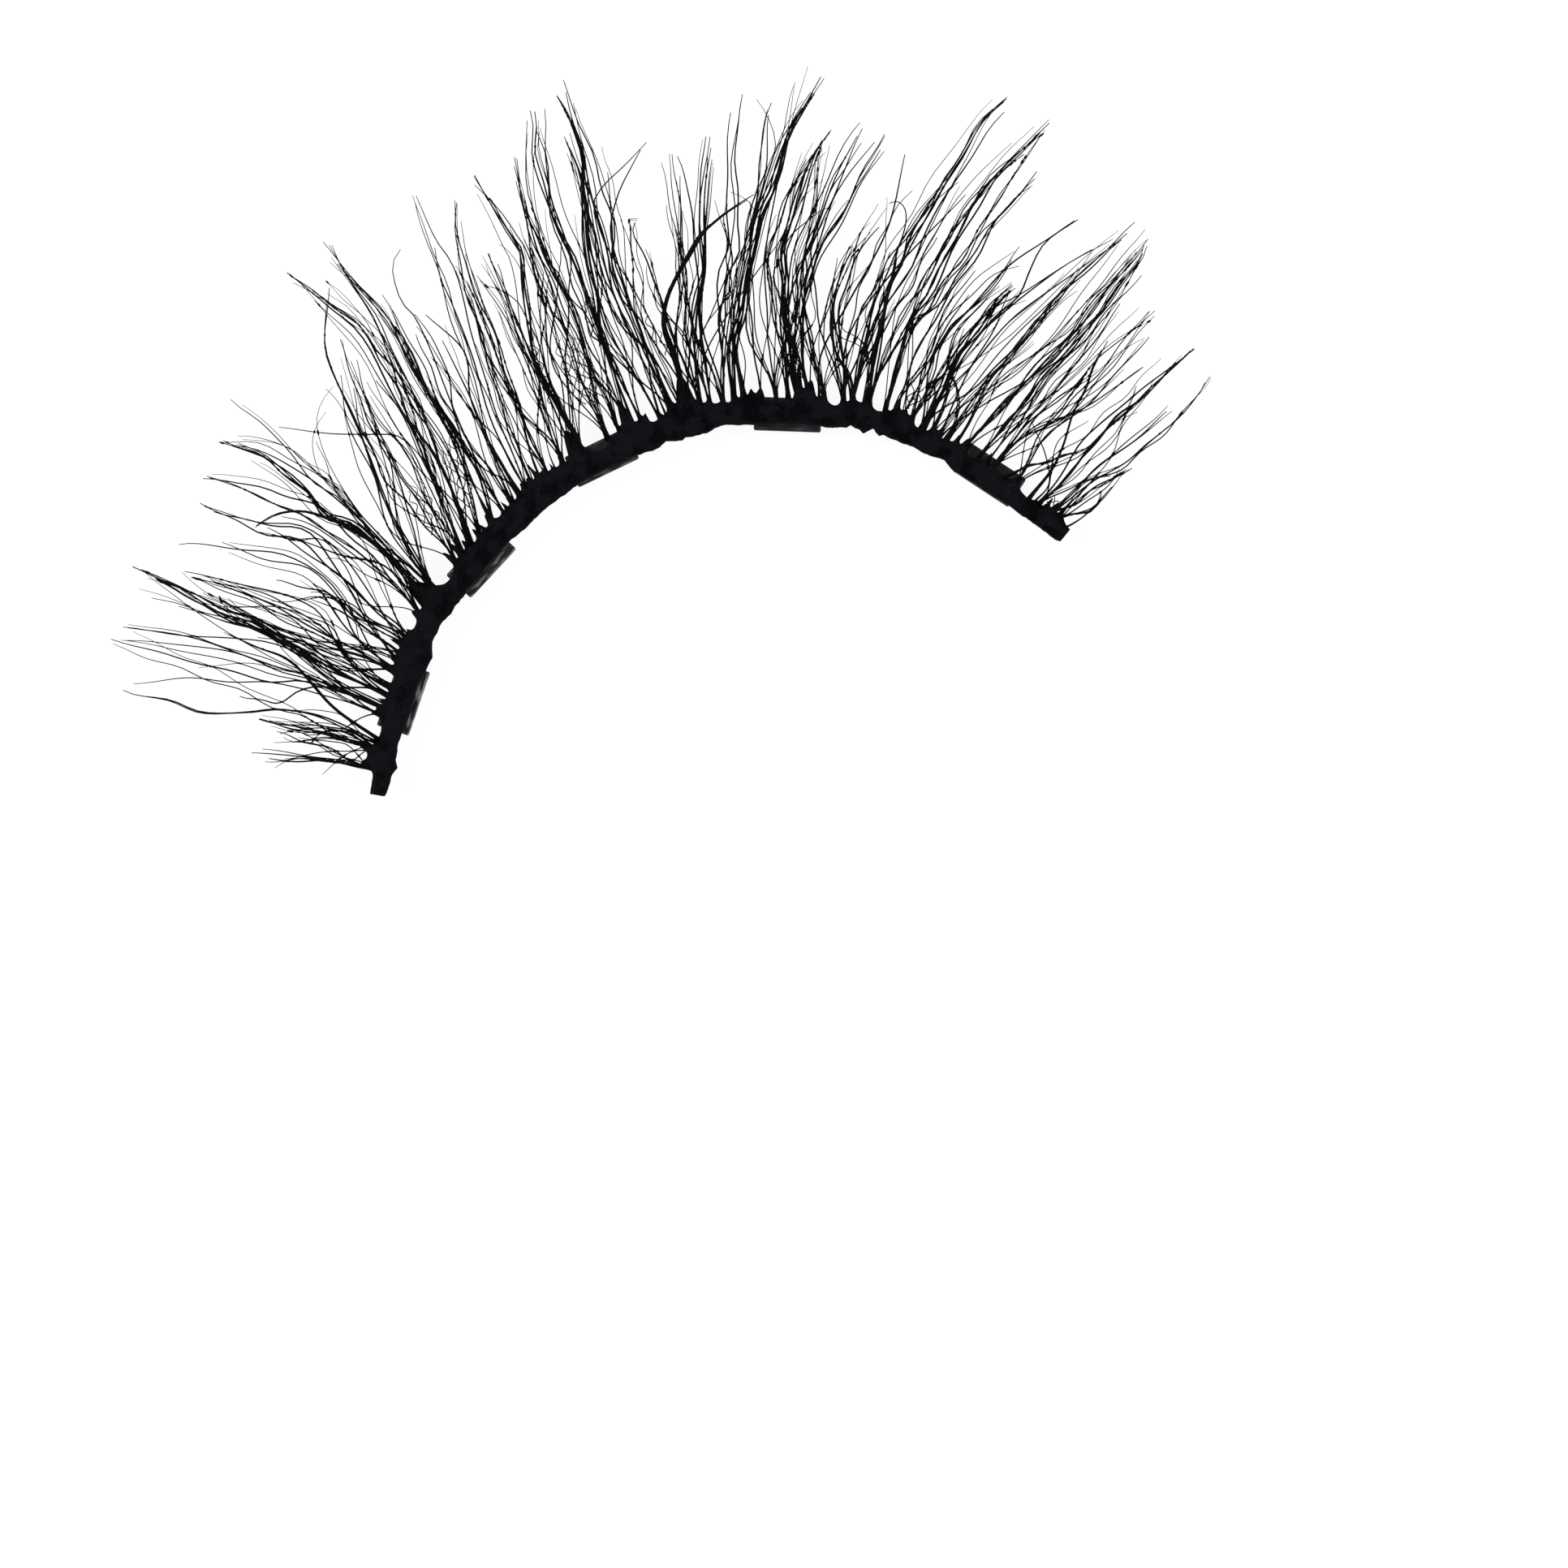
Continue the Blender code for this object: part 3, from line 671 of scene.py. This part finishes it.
# Single hairs and thin strands that cross the wisps: root distance, hairs, points to the tip
STRAYS = (
    (18.55, 15, ((3.7, 2.2), (3.75, 3.5), (4.2, 4.4), (5.0, 5.2), (5.5, 5.6), (6.2, 6.1), (7.0, 6.4),
     (7.6, 6.55), (8.5, 6.7))),
    (1.80, 2, ((-12.1, -5.6), (-12.9, -4.9), (-14.0, -4.3), (-15.0, -4.0), (-16.5, -3.4), (-17.4, -2.6),
     (-18.5, -2.0), (-19.1, -1.4))),
    (1.95, 4, ((-12.1, -4.9), (-12.9, -2.9), (-13.9, -1.9), (-14.8, -1.0))),
    (3.20, 1, ((-11.6, -4.1), (-12.4, -2.9), (-13.3, -2.0), (-14.5, -1.35), (-16.2, -0.6), (-17.5, 0.15),
     (-18.0, 0.4))),
    (6.90, 3, ((-8.3, -0.7), (-9.0, 0.6), (-9.9, 1.5), (-10.6, 2.0), (-11.5, 2.2), (-12.5, 2.0),
     (-13.4, 1.65))),
    (6.85, 2, ((-8.4, -1.1), (-8.9, -0.5), (-9.9, 0.1), (-11.2, 1.2), (-12.5, 1.9))),
    (7.50, 3, ((-7.7, 0.5), (-7.75, 3.5), (-7.8, 6.0), (-7.7, 7.2), (-7.2, 8.4), (-6.4, 10.0))),
    (9.00, 1, ((-6.1, 1.2), (-6.2, 2.6), (-6.5, 3.3), (-7.7, 3.8), (-8.8, 4.25), (-10.3, 5.05))),
    (11.10, 1, ((-4.2, 1.5), (-4.3, 3.6), (-4.3, 5.7), (-4.4, 7.0), (-4.65, 7.7), (-4.5, 8.9), (-4.0, 9.35))),
    (12.00, 1, ((-3.5, 1.6), (-3.6, 3.6), (-3.2, 5.2), (-4.0, 6.9))),
    (17.75, 1, ((2.6, 3.0), (2.5, 5.5), (2.75, 7.4), (3.0, 8.5), (3.6, 8.95), (4.5, 9.3), (5.5, 9.75))),
    (18.10, 1, ((2.9, 3.5), (3.0, 6.0), (3.2, 7.4), (3.9, 8.45), (4.6, 9.1), (5.2, 9.6))),
    (31.30, 2, ((14.8, -6.2), (15.5, -5.5), (16.2, -4.6), (17.0, -3.9), (17.6, -3.2), (19.0, -2.0))),
    (30.10, 2, ((14.0, -5.75), (15.0, -5.85), (16.5, -5.9))),
    (31.50, 1, ((14.55, -6.6), (14.8, -5.6), (14.75, -4.3))),
    (23.10, 1, ((8.6, 0.6), (10.2, 2.0), (12.4, 3.9), (13.9, 6.1))),
    (24.00, 1, ((9.7, 0.8), (12.0, 2.4), (15.4, 4.0))),
    (19.30, 1, ((4.6, 1.9), (6.4, 3.4), (8.9, 5.0))),
    (9.60, 3, ((-5.4, 1.6), (-5.9, 3.6), (-6.5, 5.4))),
    (12.20, 1, ((-3.2, 2.5), (-3.0, 5.0), (-3.0, 7.0), (-3.05, 8.0), (-2.85, 9.0))),
    (16.60, 1, ((1.5, 4.0), (1.6, 8.0), (1.65, 9.3), (2.0, 10.5), (2.0, 11.6))),
    (24.20, 2, ((10.6, 1.0), (11.6, 2.4), (12.3, 3.2))),
    (24.60, 2, ((11.2, 1.2), (12.4, 2.9), (13.2, 3.9))),
    (26.90, 1, ((12.9, -1.6), (14.6, -0.5), (15.9, 0.0), (16.4, 0.5), (17.4, 1.4), (18.8, 1.75))),
    (26.70, 1, ((12.6, -1.8), (14.0, -0.5), (15.0, -0.05), (16.0, 0.05), (18.0, 0.45), (19.7, 0.65))),
)
print(len(WISPS), "wisps with", sum(row[1] + row[2] for row in WISPS), "hairs, and", len(STRAYS), "strays")

# %% [markdown]
# ## The flow of the fan
# Between two wisps a hair runs somewhere between their curves. The wisps are therefore sampled in equal
# shares of their length, and the flow at any other root is mixed from its two neighbours. A hair is then
# described by one number that changes as it grows: its lane, the distance along the band where its flow
# starts.

# %% Curves mixed from neighbours
CURVE_STEPS = 16
SAMPLES = 61
ROOT_DEPTH = 0.12
RISE_AT_ROOT = 0.10
RISE_TO_TIP = 0.26
shares = np.linspace(0, 1, SAMPLES)


def root_place(distance):
    return on_band(distance, half_width(distance) - ROOT_DEPTH)


def even_curve(distance, points):
    """A smooth curve from the root through the points, sampled in equal shares of its length."""
    curve = smooth([tuple(root_place(distance)), *points], CURVE_STEPS)
    at = reached(curve) / reached(curve)[-1]
    return between_rows(shares, at, curve)


wisp_roots = np.array([row[0] for row in WISPS])
wisp_curves = np.array([even_curve(row[0], row[3]) for row in WISPS])
wisp_reach = np.linalg.norm(wisp_curves[:, -1] - wisp_curves[:, 0], axis=1)
wisp_ends = wisp_curves[:, :1], wisp_curves[:, SAMPLES // 2 : SAMPLES // 2 + 1], wisp_curves[:, -1:]
t = shares[None, :, None]
plain_curves = (
    wisp_ends[0] * (1 - t) * (1 - 2 * t) + wisp_ends[1] * 4 * t * (1 - t) + wisp_ends[2] * t * (2 * t - 1)
)


def in_flow(distance, share, plain):
    """x and y of the flow of these roots, at these shares of its length. 1 for plain leaves out the waves."""
    right = np.clip(np.searchsorted(wisp_roots, distance), 1, len(wisp_roots) - 1)
    part = (distance - wisp_roots[right - 1]) / (wisp_roots[right] - wisp_roots[right - 1])
    part = np.clip(part, 0, 1)[:, None]
    at = share * (SAMPLES - 1)
    low = np.minimum(at.astype(int), SAMPLES - 2)
    over = (at - low)[:, None]
    curves = wisp_curves * (1 - plain) + plain_curves * plain
    sides = [curves[k, low] * (1 - over) + curves[k, low + 1] * over for k in (right - 1, right)]
    return sides[0] * (1 - part) + sides[1] * part


print("wisps reach from", round(wisp_reach.min(), 1), "to", round(wisp_reach.max(), 1), "mm")

# %% [markdown]
# ## One hair
# A hair is a fine round fibre with a pointed tip. It is modelled once, as a bar of four sides with cuts
# across it, and every hair is a copy of that bar, whose cuts are set one by one along a path. Four smoothly
# shaded sides are enough at this size.

# %% The bar and its copies
HAIR_CUTS = 23
HAIR_RADIUS = 0.025
TIP_RADIUS = 0.012
TIP_CURVE = 4.5
GLUE_RADIUS = 0.028
GLUE_LENGTH = 0.30
ring_share = np.linspace(0, 1, HAIR_CUTS + 2)

bar = cut_bar("hair_bar", 4, HAIR_CUTS)
hair_corners = corners(bar)
hair_faces = [list(face.vertices) for face in bar.data.polygons]
bpy.data.objects.remove(bar)
corner_ring = np.rint(hair_corners[:, 2] * (HAIR_CUTS + 1)).astype(int)
corner_turn = np.arctan2(hair_corners[:, 1], hair_corners[:, 0])


def hair_copy(path, radius):
    """The bar's corners along this path, which has one point for each cut. Both are in millimetres."""
    way = unit(np.gradient(path, axis=0))
    side = unit(np.cross(way, (0, 0, 1)))
    over = np.cross(side, way)
    across = np.cos(corner_turn)[:, None] * side[corner_ring]
    across += np.sin(corner_turn)[:, None] * over[corner_ring]
    return path[corner_ring] + radius[corner_ring, None] * across


def thickness(path, size, glue=GLUE_RADIUS):
    """Thick with glue at the root, even for most of the length and pointed at the tip."""
    at = reached(path)
    tip = (at / at[-1]) ** TIP_CURVE
    return size * (HAIR_RADIUS * (1 - tip) + TIP_RADIUS * tip) + glue * np.exp(-at / GLUE_LENGTH)


print("one hair has", len(hair_corners), "corners and", len(hair_faces), "faces")

# %% [markdown]
# ## Hairs in a wisp
# Hairs are tied only in the knots between two bays. From there they lean to both sides and cross their
# neighbours, which gives the narrow diamonds low in the fan, and then join their wisp. Some stick together
# from the start, in bundles of two or three, and a few in each wisp make its dark core. All of that is drawn
# from a random generator with a fixed seed, so that the strip comes out the same each time.

# %% Paths for every hair
SEED = 20
FIRST_ROOT, LAST_ROOT = 0.90, 32.95
KNOT_WIDE, KNOT_GAP = 0.035, 0.28
WIDE_BAY = 0.28
# Hairs of the core: spread of the roots and of the lanes, where they reach their lane, and thickness
CORE_ROOTS, CORE_WIDE, CORE_LEAN, CORE_SIZE = 0.12, 0.10, 0.6, (1.0, 1.45)
# Loose hairs: spread of the roots and of the lanes, less so near the strip's ends, and thickness
FREE_SPREAD, AIM_SPREAD, END_ROOM, FREE_SIZE = 0.95, 0.65, 0.3, (0.62, 0.70)
BUNDLES = (1, 1, 1, 2, 2, 3)
# How a hair leaves its root, and how it leaves the wisp for a tip of its own
ROOT_POWER, TIP_POWER = 6, 1.6
draw = np.random.default_rng(SEED)
hairs = []


def curl(flat, reach, lift, sink):
    """Gives flat x and y rows the height of a hair that curls up towards its tip."""
    at = reached(flat)
    height = MID_HEIGHT + sink + at * RISE_AT_ROOT + lift * RISE_TO_TIP * at**2 / reach
    return np.c_[flat, height]


def step(share, end):
    """Smoothly from 0 to 1, where end is the share at which it arrives."""
    t = np.clip(share / end, 0, 1)
    return t * t * (3 - 2 * t)


def grow(wisp, root, aim, lean, length, joins, mix, plain, wobble, fly, other_tip, lift, sink, size):
    """One hair: from its root it leans to another lane of the wisp, and joins the wisp near the tip."""
    share = ring_share * length
    centre = wisp_roots[wisp]
    aim = min(max(aim, FIRST_ROOT - centre), LAST_ROOT - centre)
    drift = (root - centre + (aim - root + centre) * step(share, lean)) * (1 - share**joins)
    flat = in_flow(centre + drift * mix, share, plain)
    right = right_of(between_rows(share, shares, np.gradient(wisp_curves[wisp], axis=0)))
    wave, deep, shift = wobble
    sway = drift * (1 - mix)
    swing = np.sin(math.tau * (wisp_reach[wisp] / wave * share + shift))
    sway += deep * swing * np.sin(math.pi * ring_share) ** 0.5
    flat += right * sway[:, None]
    flat += (root_place(np.array(root)) - flat[0]) * ((1 - share) ** ROOT_POWER)[:, None]
    flat += np.outer(share**TIP_POWER, other_tip)
    flat += np.outer(np.maximum(2 * ring_share - 1, 0) ** 2, fly)
    path = curl(flat, wisp_reach[wisp], lift, sink)
    hairs.append((root, path, thickness(path, size)))


knots = [FIRST_ROOT]
for low, high in knot_spans():
    count = max(1, round((high - low) / KNOT_GAP))
    between = [low + (high - low) * (number + 0.5) / count for number in range(count)]
    knots += [knot for knot in between if knot - knots[-1] > KNOT_GAP]
knots = np.array(knots)


def at_knot(distance):
    """The knot nearest to this distance, give or take a little, since hairs are tied only there."""
    distance = min(max(distance, FIRST_ROOT), LAST_ROOT)
    return float(knots[np.argmin(np.abs(knots - distance))] + draw.normal(0, KNOT_WIDE))


for wisp, (centre, free, core, points, others) in enumerate(WISPS):
    tip = np.array(points[-1])
    tips = [np.zeros(2)] + [np.array(other) - tip for other in others]
    room = min(1.0, END_ROOM + min(centre - FIRST_ROOT, LAST_ROOT - centre) / 2)
    for number in range(core):
        grow(
            wisp, at_knot(centre + draw.normal(0, CORE_ROOTS)), draw.normal(0, CORE_WIDE), CORE_LEAN,
            1.0 if number < 2 else draw.uniform(0.9, 1.0), 4.0, 0.0, draw.uniform(0.0, 0.12),
            (draw.uniform(2, 4), draw.uniform(0.03, 0.07), 0.5 * (number % 2) + draw.normal(0, 0.1)),
            draw.normal(0, 0.06, 2), tips[0], draw.uniform(0.94, 1.04), draw.normal(0, 0.04),
            draw.uniform(*CORE_SIZE),
        )
    number = 0
    while number < free:
        first = number < len(tips) + 1
        spread = room * FREE_SPREAD * (2 * (number + draw.uniform()) / free - 1)
        aim = draw.uniform(-AIM_SPREAD, AIM_SPREAD) * room
        lean, joins = draw.uniform(0.3, 0.8), draw.uniform(1.8, 4.5)
        length = 1.0 if first else draw.choice((draw.uniform(0.45, 0.85), draw.uniform(0.7, 1.0), 0.97))
        mix, plain = draw.uniform(0, 1) * room**4, draw.uniform(0.1, 0.8)
        wave, lift, sink = draw.uniform(2.0, 4.5), draw.uniform(0.92, 1.06), draw.normal(0, 0.04)
        fly = draw.normal(0, 0.06 if first else 0.2, 2)
        for _ in range(min(free - number, int(draw.choice(BUNDLES)))):
            grow(
                wisp, at_knot(centre + spread + draw.normal(0, 0.02)), aim + draw.normal(0, 0.04),
                lean, length * draw.uniform(0.94, 1.0), joins, mix, plain,
                (wave, draw.uniform(0.03, 0.09), 0.5 * (number % 2) + draw.normal(0, 0.1)),
                fly + draw.normal(0, 0.09, 2), tips[number % len(tips)], lift, sink + draw.normal(0, 0.01),
                FREE_SIZE[0] + FREE_SIZE[1] * draw.uniform() ** 2,
            )
            number += 1

# Thin hairs that close the wide bays above, except at the strip's ends
for bay, width, _ in BAYS[1:-4]:
    if width < WIDE_BAY:
        continue
    wisp = int(np.argmin(np.abs(wisp_roots - bay)))
    for side in (-1, 1):
        root = at_knot(bay + side * (width / 2 + 0.1))
        aim = bay - side * draw.uniform(0.2, 0.7) - wisp_roots[wisp]
        grow(
            wisp, root, aim, draw.uniform(0.25, 0.40), draw.uniform(0.3, 0.9), 3.0, draw.uniform(0, 1), 0.5,
            (draw.uniform(2.5, 4.5), 0.04, draw.uniform()), draw.normal(0, 0.15, 2), np.zeros(2),
            draw.uniform(0.92, 1.06), draw.normal(0, 0.03), draw.uniform(0.7, 0.95),
        )

THIN_STRAND = 4
for root, count, points in STRAYS:
    curve = even_curve(root, points)
    reach = float(np.linalg.norm(curve[-1] - curve[0]))
    right = right_of(np.gradient(curve, axis=0))
    for _ in range(count):
        length = 1.0 if count == 1 else draw.uniform(0.75, 1.0)
        off = draw.normal(0, 0.05 if count > THIN_STRAND else 0.03) * (1 - shares) ** 0.5
        off += draw.normal(0, 0.03) * np.sin(math.tau * (shares * draw.uniform(1, 3) + draw.uniform()))
        places = curve - right * (off * (count > 1))[:, None]
        flat = between_rows(ring_share * length, shares, places)
        path = curl(flat, reach, draw.uniform(0.9, 1.1), draw.normal(0, 0.04))
        hairs.append((root, path, thickness(path, draw.uniform(0.9, 1.4))))
print(len(hairs), "hairs")

# %% [markdown]
# ## Nets
# In some places the coating has caught the hairs in a net of small diamonds. Thin strands that sway from side
# to side, each against the next, touch one another again and again and give that net.

# %% Thin strands in opposite waves
# Distance along the band, offset at which the net starts and ends, strands
NETS = (
    (8.7, 1.6, 3.4, 3), (9.9, 1.2, 3.4, 4), (14.3, 2.5, 5.0, 3), (15.55, 1.7, 4.3, 6), (16.6, 2.8, 4.4, 3),
    (18.6, 2.4, 3.4, 3), (22.5, 0.9, 2.2, 3), (26.2, 0.9, 1.8, 3), (32.1, 0.6, 1.2, 4),
)
NET_GAP = 0.15
NET_WAVE = 0.50
NET_SWAY = 0.55
NET_SIZE = 0.80
NET_REACH = 9.0
ROOT_OFFSET = 0.4
for at, low, high, count in NETS:
    for number in range(count):
        root = at + NET_GAP * (number - (count - 1) / 2)
        rise = low + draw.uniform(0, 0.25) + ring_share * (high - low) * draw.uniform(0.75, 1.0)
        at_hair = rise - ROOT_OFFSET
        flow = in_flow(np.full(len(rise), root), np.maximum(at_hair, 0) / wisp_reach.mean(), np.array(0.5))
        sway = NET_SWAY * NET_GAP * np.cos(math.tau * rise / NET_WAVE + math.pi * number)
        flat = flow + right_of(np.gradient(flow, axis=0)) * sway[:, None]
        height = MID_HEIGHT + RISE_AT_ROOT * at_hair + RISE_TO_TIP * at_hair**2 / NET_REACH
        path = np.c_[flat, height]
        hairs.append((root, path, thickness(path, NET_SIZE, 0.0)))
print(len(hairs), "hairs with the nets")

# %% [markdown]
# ## Beads where hairs cross
# The hairs were coated while they lay in the fan, so a small bead of coating sits at nearly every crossing.
# The crossings are found in the view from above, and a bead is kept where the two hairs also lie close in
# height. One bead is a ball of twenty faces, drawn out along the hairs.

# %% Find the crossings
NEIGHBOURS = 4.0
BEAD_REACH = 0.11
BEAD_RADIUS = 0.044
BEAD_LENGTH = (0.08, 0.18)
nothing_selected()
bpy.ops.mesh.primitive_ico_sphere_add(subdivisions=1, radius=1.0)
ball = bpy.context.active_object
ball_corners = corners(ball)
ball_faces = [list(face.vertices) for face in ball.data.polygons]
bpy.data.objects.remove(ball)

plain_hairs = hairs[:-sum(row[3] for row in NETS)]
paths = np.array([path for _, path, _ in plain_hairs])
starts, sides_on = paths[:, :-1], np.diff(paths, axis=1)
roots = np.array([hair[0] for hair in plain_hairs])
beads = []
for number in range(len(plain_hairs)):
    near = [k for k in range(number + 1, len(plain_hairs)) if abs(roots[k] - roots[number]) < NEIGHBOURS]
    if not near:
        continue
    a, u = starts[number][:, None], sides_on[number][:, None]
    b, v = starts[near].reshape(-1, 3)[None], sides_on[near].reshape(-1, 3)[None]
    turned = u[..., 0] * v[..., 1] - u[..., 1] * v[..., 0]
    turned = np.where(np.abs(turned) < 1e-9, 1e-9, turned)
    gap = b - a
    on_a = (gap[..., 0] * v[..., 1] - gap[..., 1] * v[..., 0]) / turned
    on_b = (gap[..., 0] * u[..., 1] - gap[..., 1] * u[..., 0]) / turned
    heights = (a + u * on_a[..., None])[..., 2], (b + v * on_b[..., None])[..., 2]
    meet = (0 < on_a) & (on_a < 1) & (0 < on_b) & (on_b < 1)
    meet &= np.abs(heights[0] - heights[1]) < BEAD_REACH
    for first, second in np.argwhere(meet):
        side = sides_on[number][first]
        point = starts[number][first] + side * on_a[first, second]
        point[2] = (heights[0][first, second] + heights[1][first, second]) / 2
        beads.append((roots[number], point, side / np.linalg.norm(side)))
print(len(beads), "beads")


def bead_copy(point, way):
    side = np.cross(way, (0, 0, 1.0))
    side /= np.linalg.norm(side)
    length = draw.uniform(*BEAD_LENGTH)
    shape = np.stack([way * length, side * BEAD_RADIUS, np.cross(side, way) * BEAD_RADIUS])
    return point + ball_corners @ (shape * draw.uniform(0.8, 1.15))


# %% [markdown]
# ## Clusters
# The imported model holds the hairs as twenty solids, each a group of neighbouring wisps. Each of those is
# replaced by one mesh of the hairs whose roots lie in its stretch of the band.

# %% Join the hairs of each cluster
CLUSTER_ENDS = (
    -1.0, 2.2, 3.1, 4.6, 6.3, 7.7, 9.7, 11.7, 13.55, 15.3, 18.0, 19.85, 21.6, 23.4, 25.1, 26.3, 27.35, 28.6,
    29.95, 30.8, BAND_LENGTH + 1.0,
)


def copied(faces, first, step, copies):
    """The faces of several copies of a shape, whose corners begin at the first and lie a step apart."""
    return [[corner + first + k * step for corner in face] for k in range(copies) for face in faces]


clusters = []
for number, (low, high) in enumerate(zip(CLUSTER_ENDS, CLUSTER_ENDS[1:]), 1):
    members = [hair for hair in hairs if low <= hair[0] < high]
    drops = [bead for bead in beads if low <= bead[0] < high]
    places = [hair_copy(*hair[1:]) for hair in members] + [bead_copy(*bead[1:]) for bead in drops]
    faces = copied(hair_faces, 0, len(hair_corners), len(members))
    faces += copied(ball_faces, len(members) * len(hair_corners), len(ball_corners), len(drops))
    mesh = bpy.data.meshes.new(f"lashes_{number:02d}")
    mesh.from_pydata((np.vstack(places) * MM).tolist(), [], faces)
    on_beads = np.zeros(len(drops) * len(ball_corners))
    for name, on_hairs in (
        ("along", np.tile(hair_corners[:, 2], len(members))),
        ("shade", np.repeat(draw.uniform(size=len(members)), len(hair_corners))),
    ):
        mesh.attributes.new(name, "FLOAT", "POINT").data.foreach_set("value", np.r_[on_hairs, on_beads])
    lashes = new_object(mesh.name, mesh)
    mesh.shade_smooth()
    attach(lashes, "root")
    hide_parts(f"lash_cluster_{number:02d}")
    clusters.append(lashes)
print([len(lashes.data.polygons) for lashes in clusters], "faces in each cluster")

# %% [markdown]
# ## The hair's finish
# Black synthetic hair is not quite even: some fibres are a little browner, and each has a soft, streaky
# shine. The finish reads two attributes that the hairs carry: how far along the hair a point is, and one
# number for each hair.

# %% Black fibre
FIBRE_BLACKS = (0.0012, 0.0012, 0.0013), (0.0050, 0.0040, 0.0034)
material, shader, start = new_finish("black_fibre", 0.05)
along, own = carried(start, "along"), carried(start, "shade")
fibre_map = start.node("CombineXYZ", {}, {"X": along * 14.0, "Y": own * 90.0})
streaks = clouds(start, fibre_map, 1.0, 2.0, flat=True)
brown = own**3.0 * 0.7 + along * 0.3
plug(
    shader,
    Base_Color=mixed(start, brown, *FIBRE_BLACKS),
    Roughness=0.42 + streaks * 0.24 - along * 0.06,
)
for lashes in clusters:
    lashes.data.materials.append(material)

# %% [markdown]
# ## Glued cotton
# The band's cotton threads show faintly under the dried glue. Where the glue is thick it is smooth and
# slightly glossy, and where it is thin the cotton is matt and a little greyer. The threads follow the strip's
# own map, and the patches of glue follow the object's coordinates.

# %% Black glue over threads
GLUE_BLACKS = (0.0010, 0.0010, 0.0018), (0.010, 0.010, 0.013)
material, shader, start = new_finish("glued_cotton", 0.02)
place = start.node("TexCoord", output=3)
strip = start.node("UVMap", {"uv_map": "strip"})
patches = clouds(start, place, 1500.0, 4.0).between(0.42, 0.60)
specks = clouds(start, place, 9000.0, 2.0).between(0.60, 0.72)
threads = start.node(
    "TexWave",
    {"wave_type": "BANDS", "bands_direction": "DIAGONAL"},
    {"Vector": strip, "Scale": 2.6, "Distortion": 5.0, "Detail": 3.0, "Detail Scale": 2.5},
)
cotton = 1 - patches
relief = threads * 0.35 + patches * 0.5 + specks * 0.35
plug(
    shader,
    Base_Color=mixed(start, specks * 0.45 + cotton * 0.35, *GLUE_BLACKS),
    Roughness=0.40 + cotton * 0.28 + threads * 0.08,
    Normal=bump(start, 0.7, 0.00003, relief),
)
band.data.materials.append(material)

# %% [markdown]
# ## Coated magnets
# The magnets have a thin dark coating with fine scratches along them. Glue has dried on the half that the
# band leaves free, in pale, dusty smears, most of all on the left magnet. The smears are stretched noise on
# the block's own map, and an attribute tells how much each magnet has of them.

# %% Dark satin coating
COATING_GREYS = (0.012, 0.012, 0.014), (0.30, 0.30, 0.31)
material, shader, start = new_finish("dark_magnet", 0.35)
block_map = start.node("UVMap", {"uv_map": "strip"})
smear = carried(start, "smear")
long_way = start.node("Mapping", {}, {"Vector": block_map, "Scale": (1.2, 6.0, 1.0)})
fine_way = start.node("Mapping", {}, {"Vector": block_map, "Scale": (1.0, 26.0, 1.0)})
scratches = clouds(start, fine_way, 1.5, 3.0, flat=True).between(0.56, 0.68)
across = start.node("SeparateXYZ", {}, {"Vector": block_map}, output=1)
free_half = 1 - across.between(-0.35, 0.05)
dust = clouds(start, long_way, 1.3, 6.0, flat=True).between(0.46, 0.72) * smear * free_half
plug(
    shader,
    Base_Color=mixed(start, dust * 0.75 + scratches * 0.12, *COATING_GREYS),
    Roughness=0.36 + dust * 0.35 + scratches * 0.1,
    Metallic=0.55 - dust * 0.5,
    Normal=bump(start, 0.5, 0.00001, dust - scratches * 0.5),
)
for magnet in magnets:
    magnet.data.materials.append(material)
print("finishes:", [m.name for m in bpy.data.materials if m.users])

# %% [markdown]
# ## The finished size
# The dressed strip must keep the size of the imported model, so its visual size is printed.

# %% Sizes
low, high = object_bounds()
print("visual size in mm:", [round(side / MM, 2) for side in high - low])
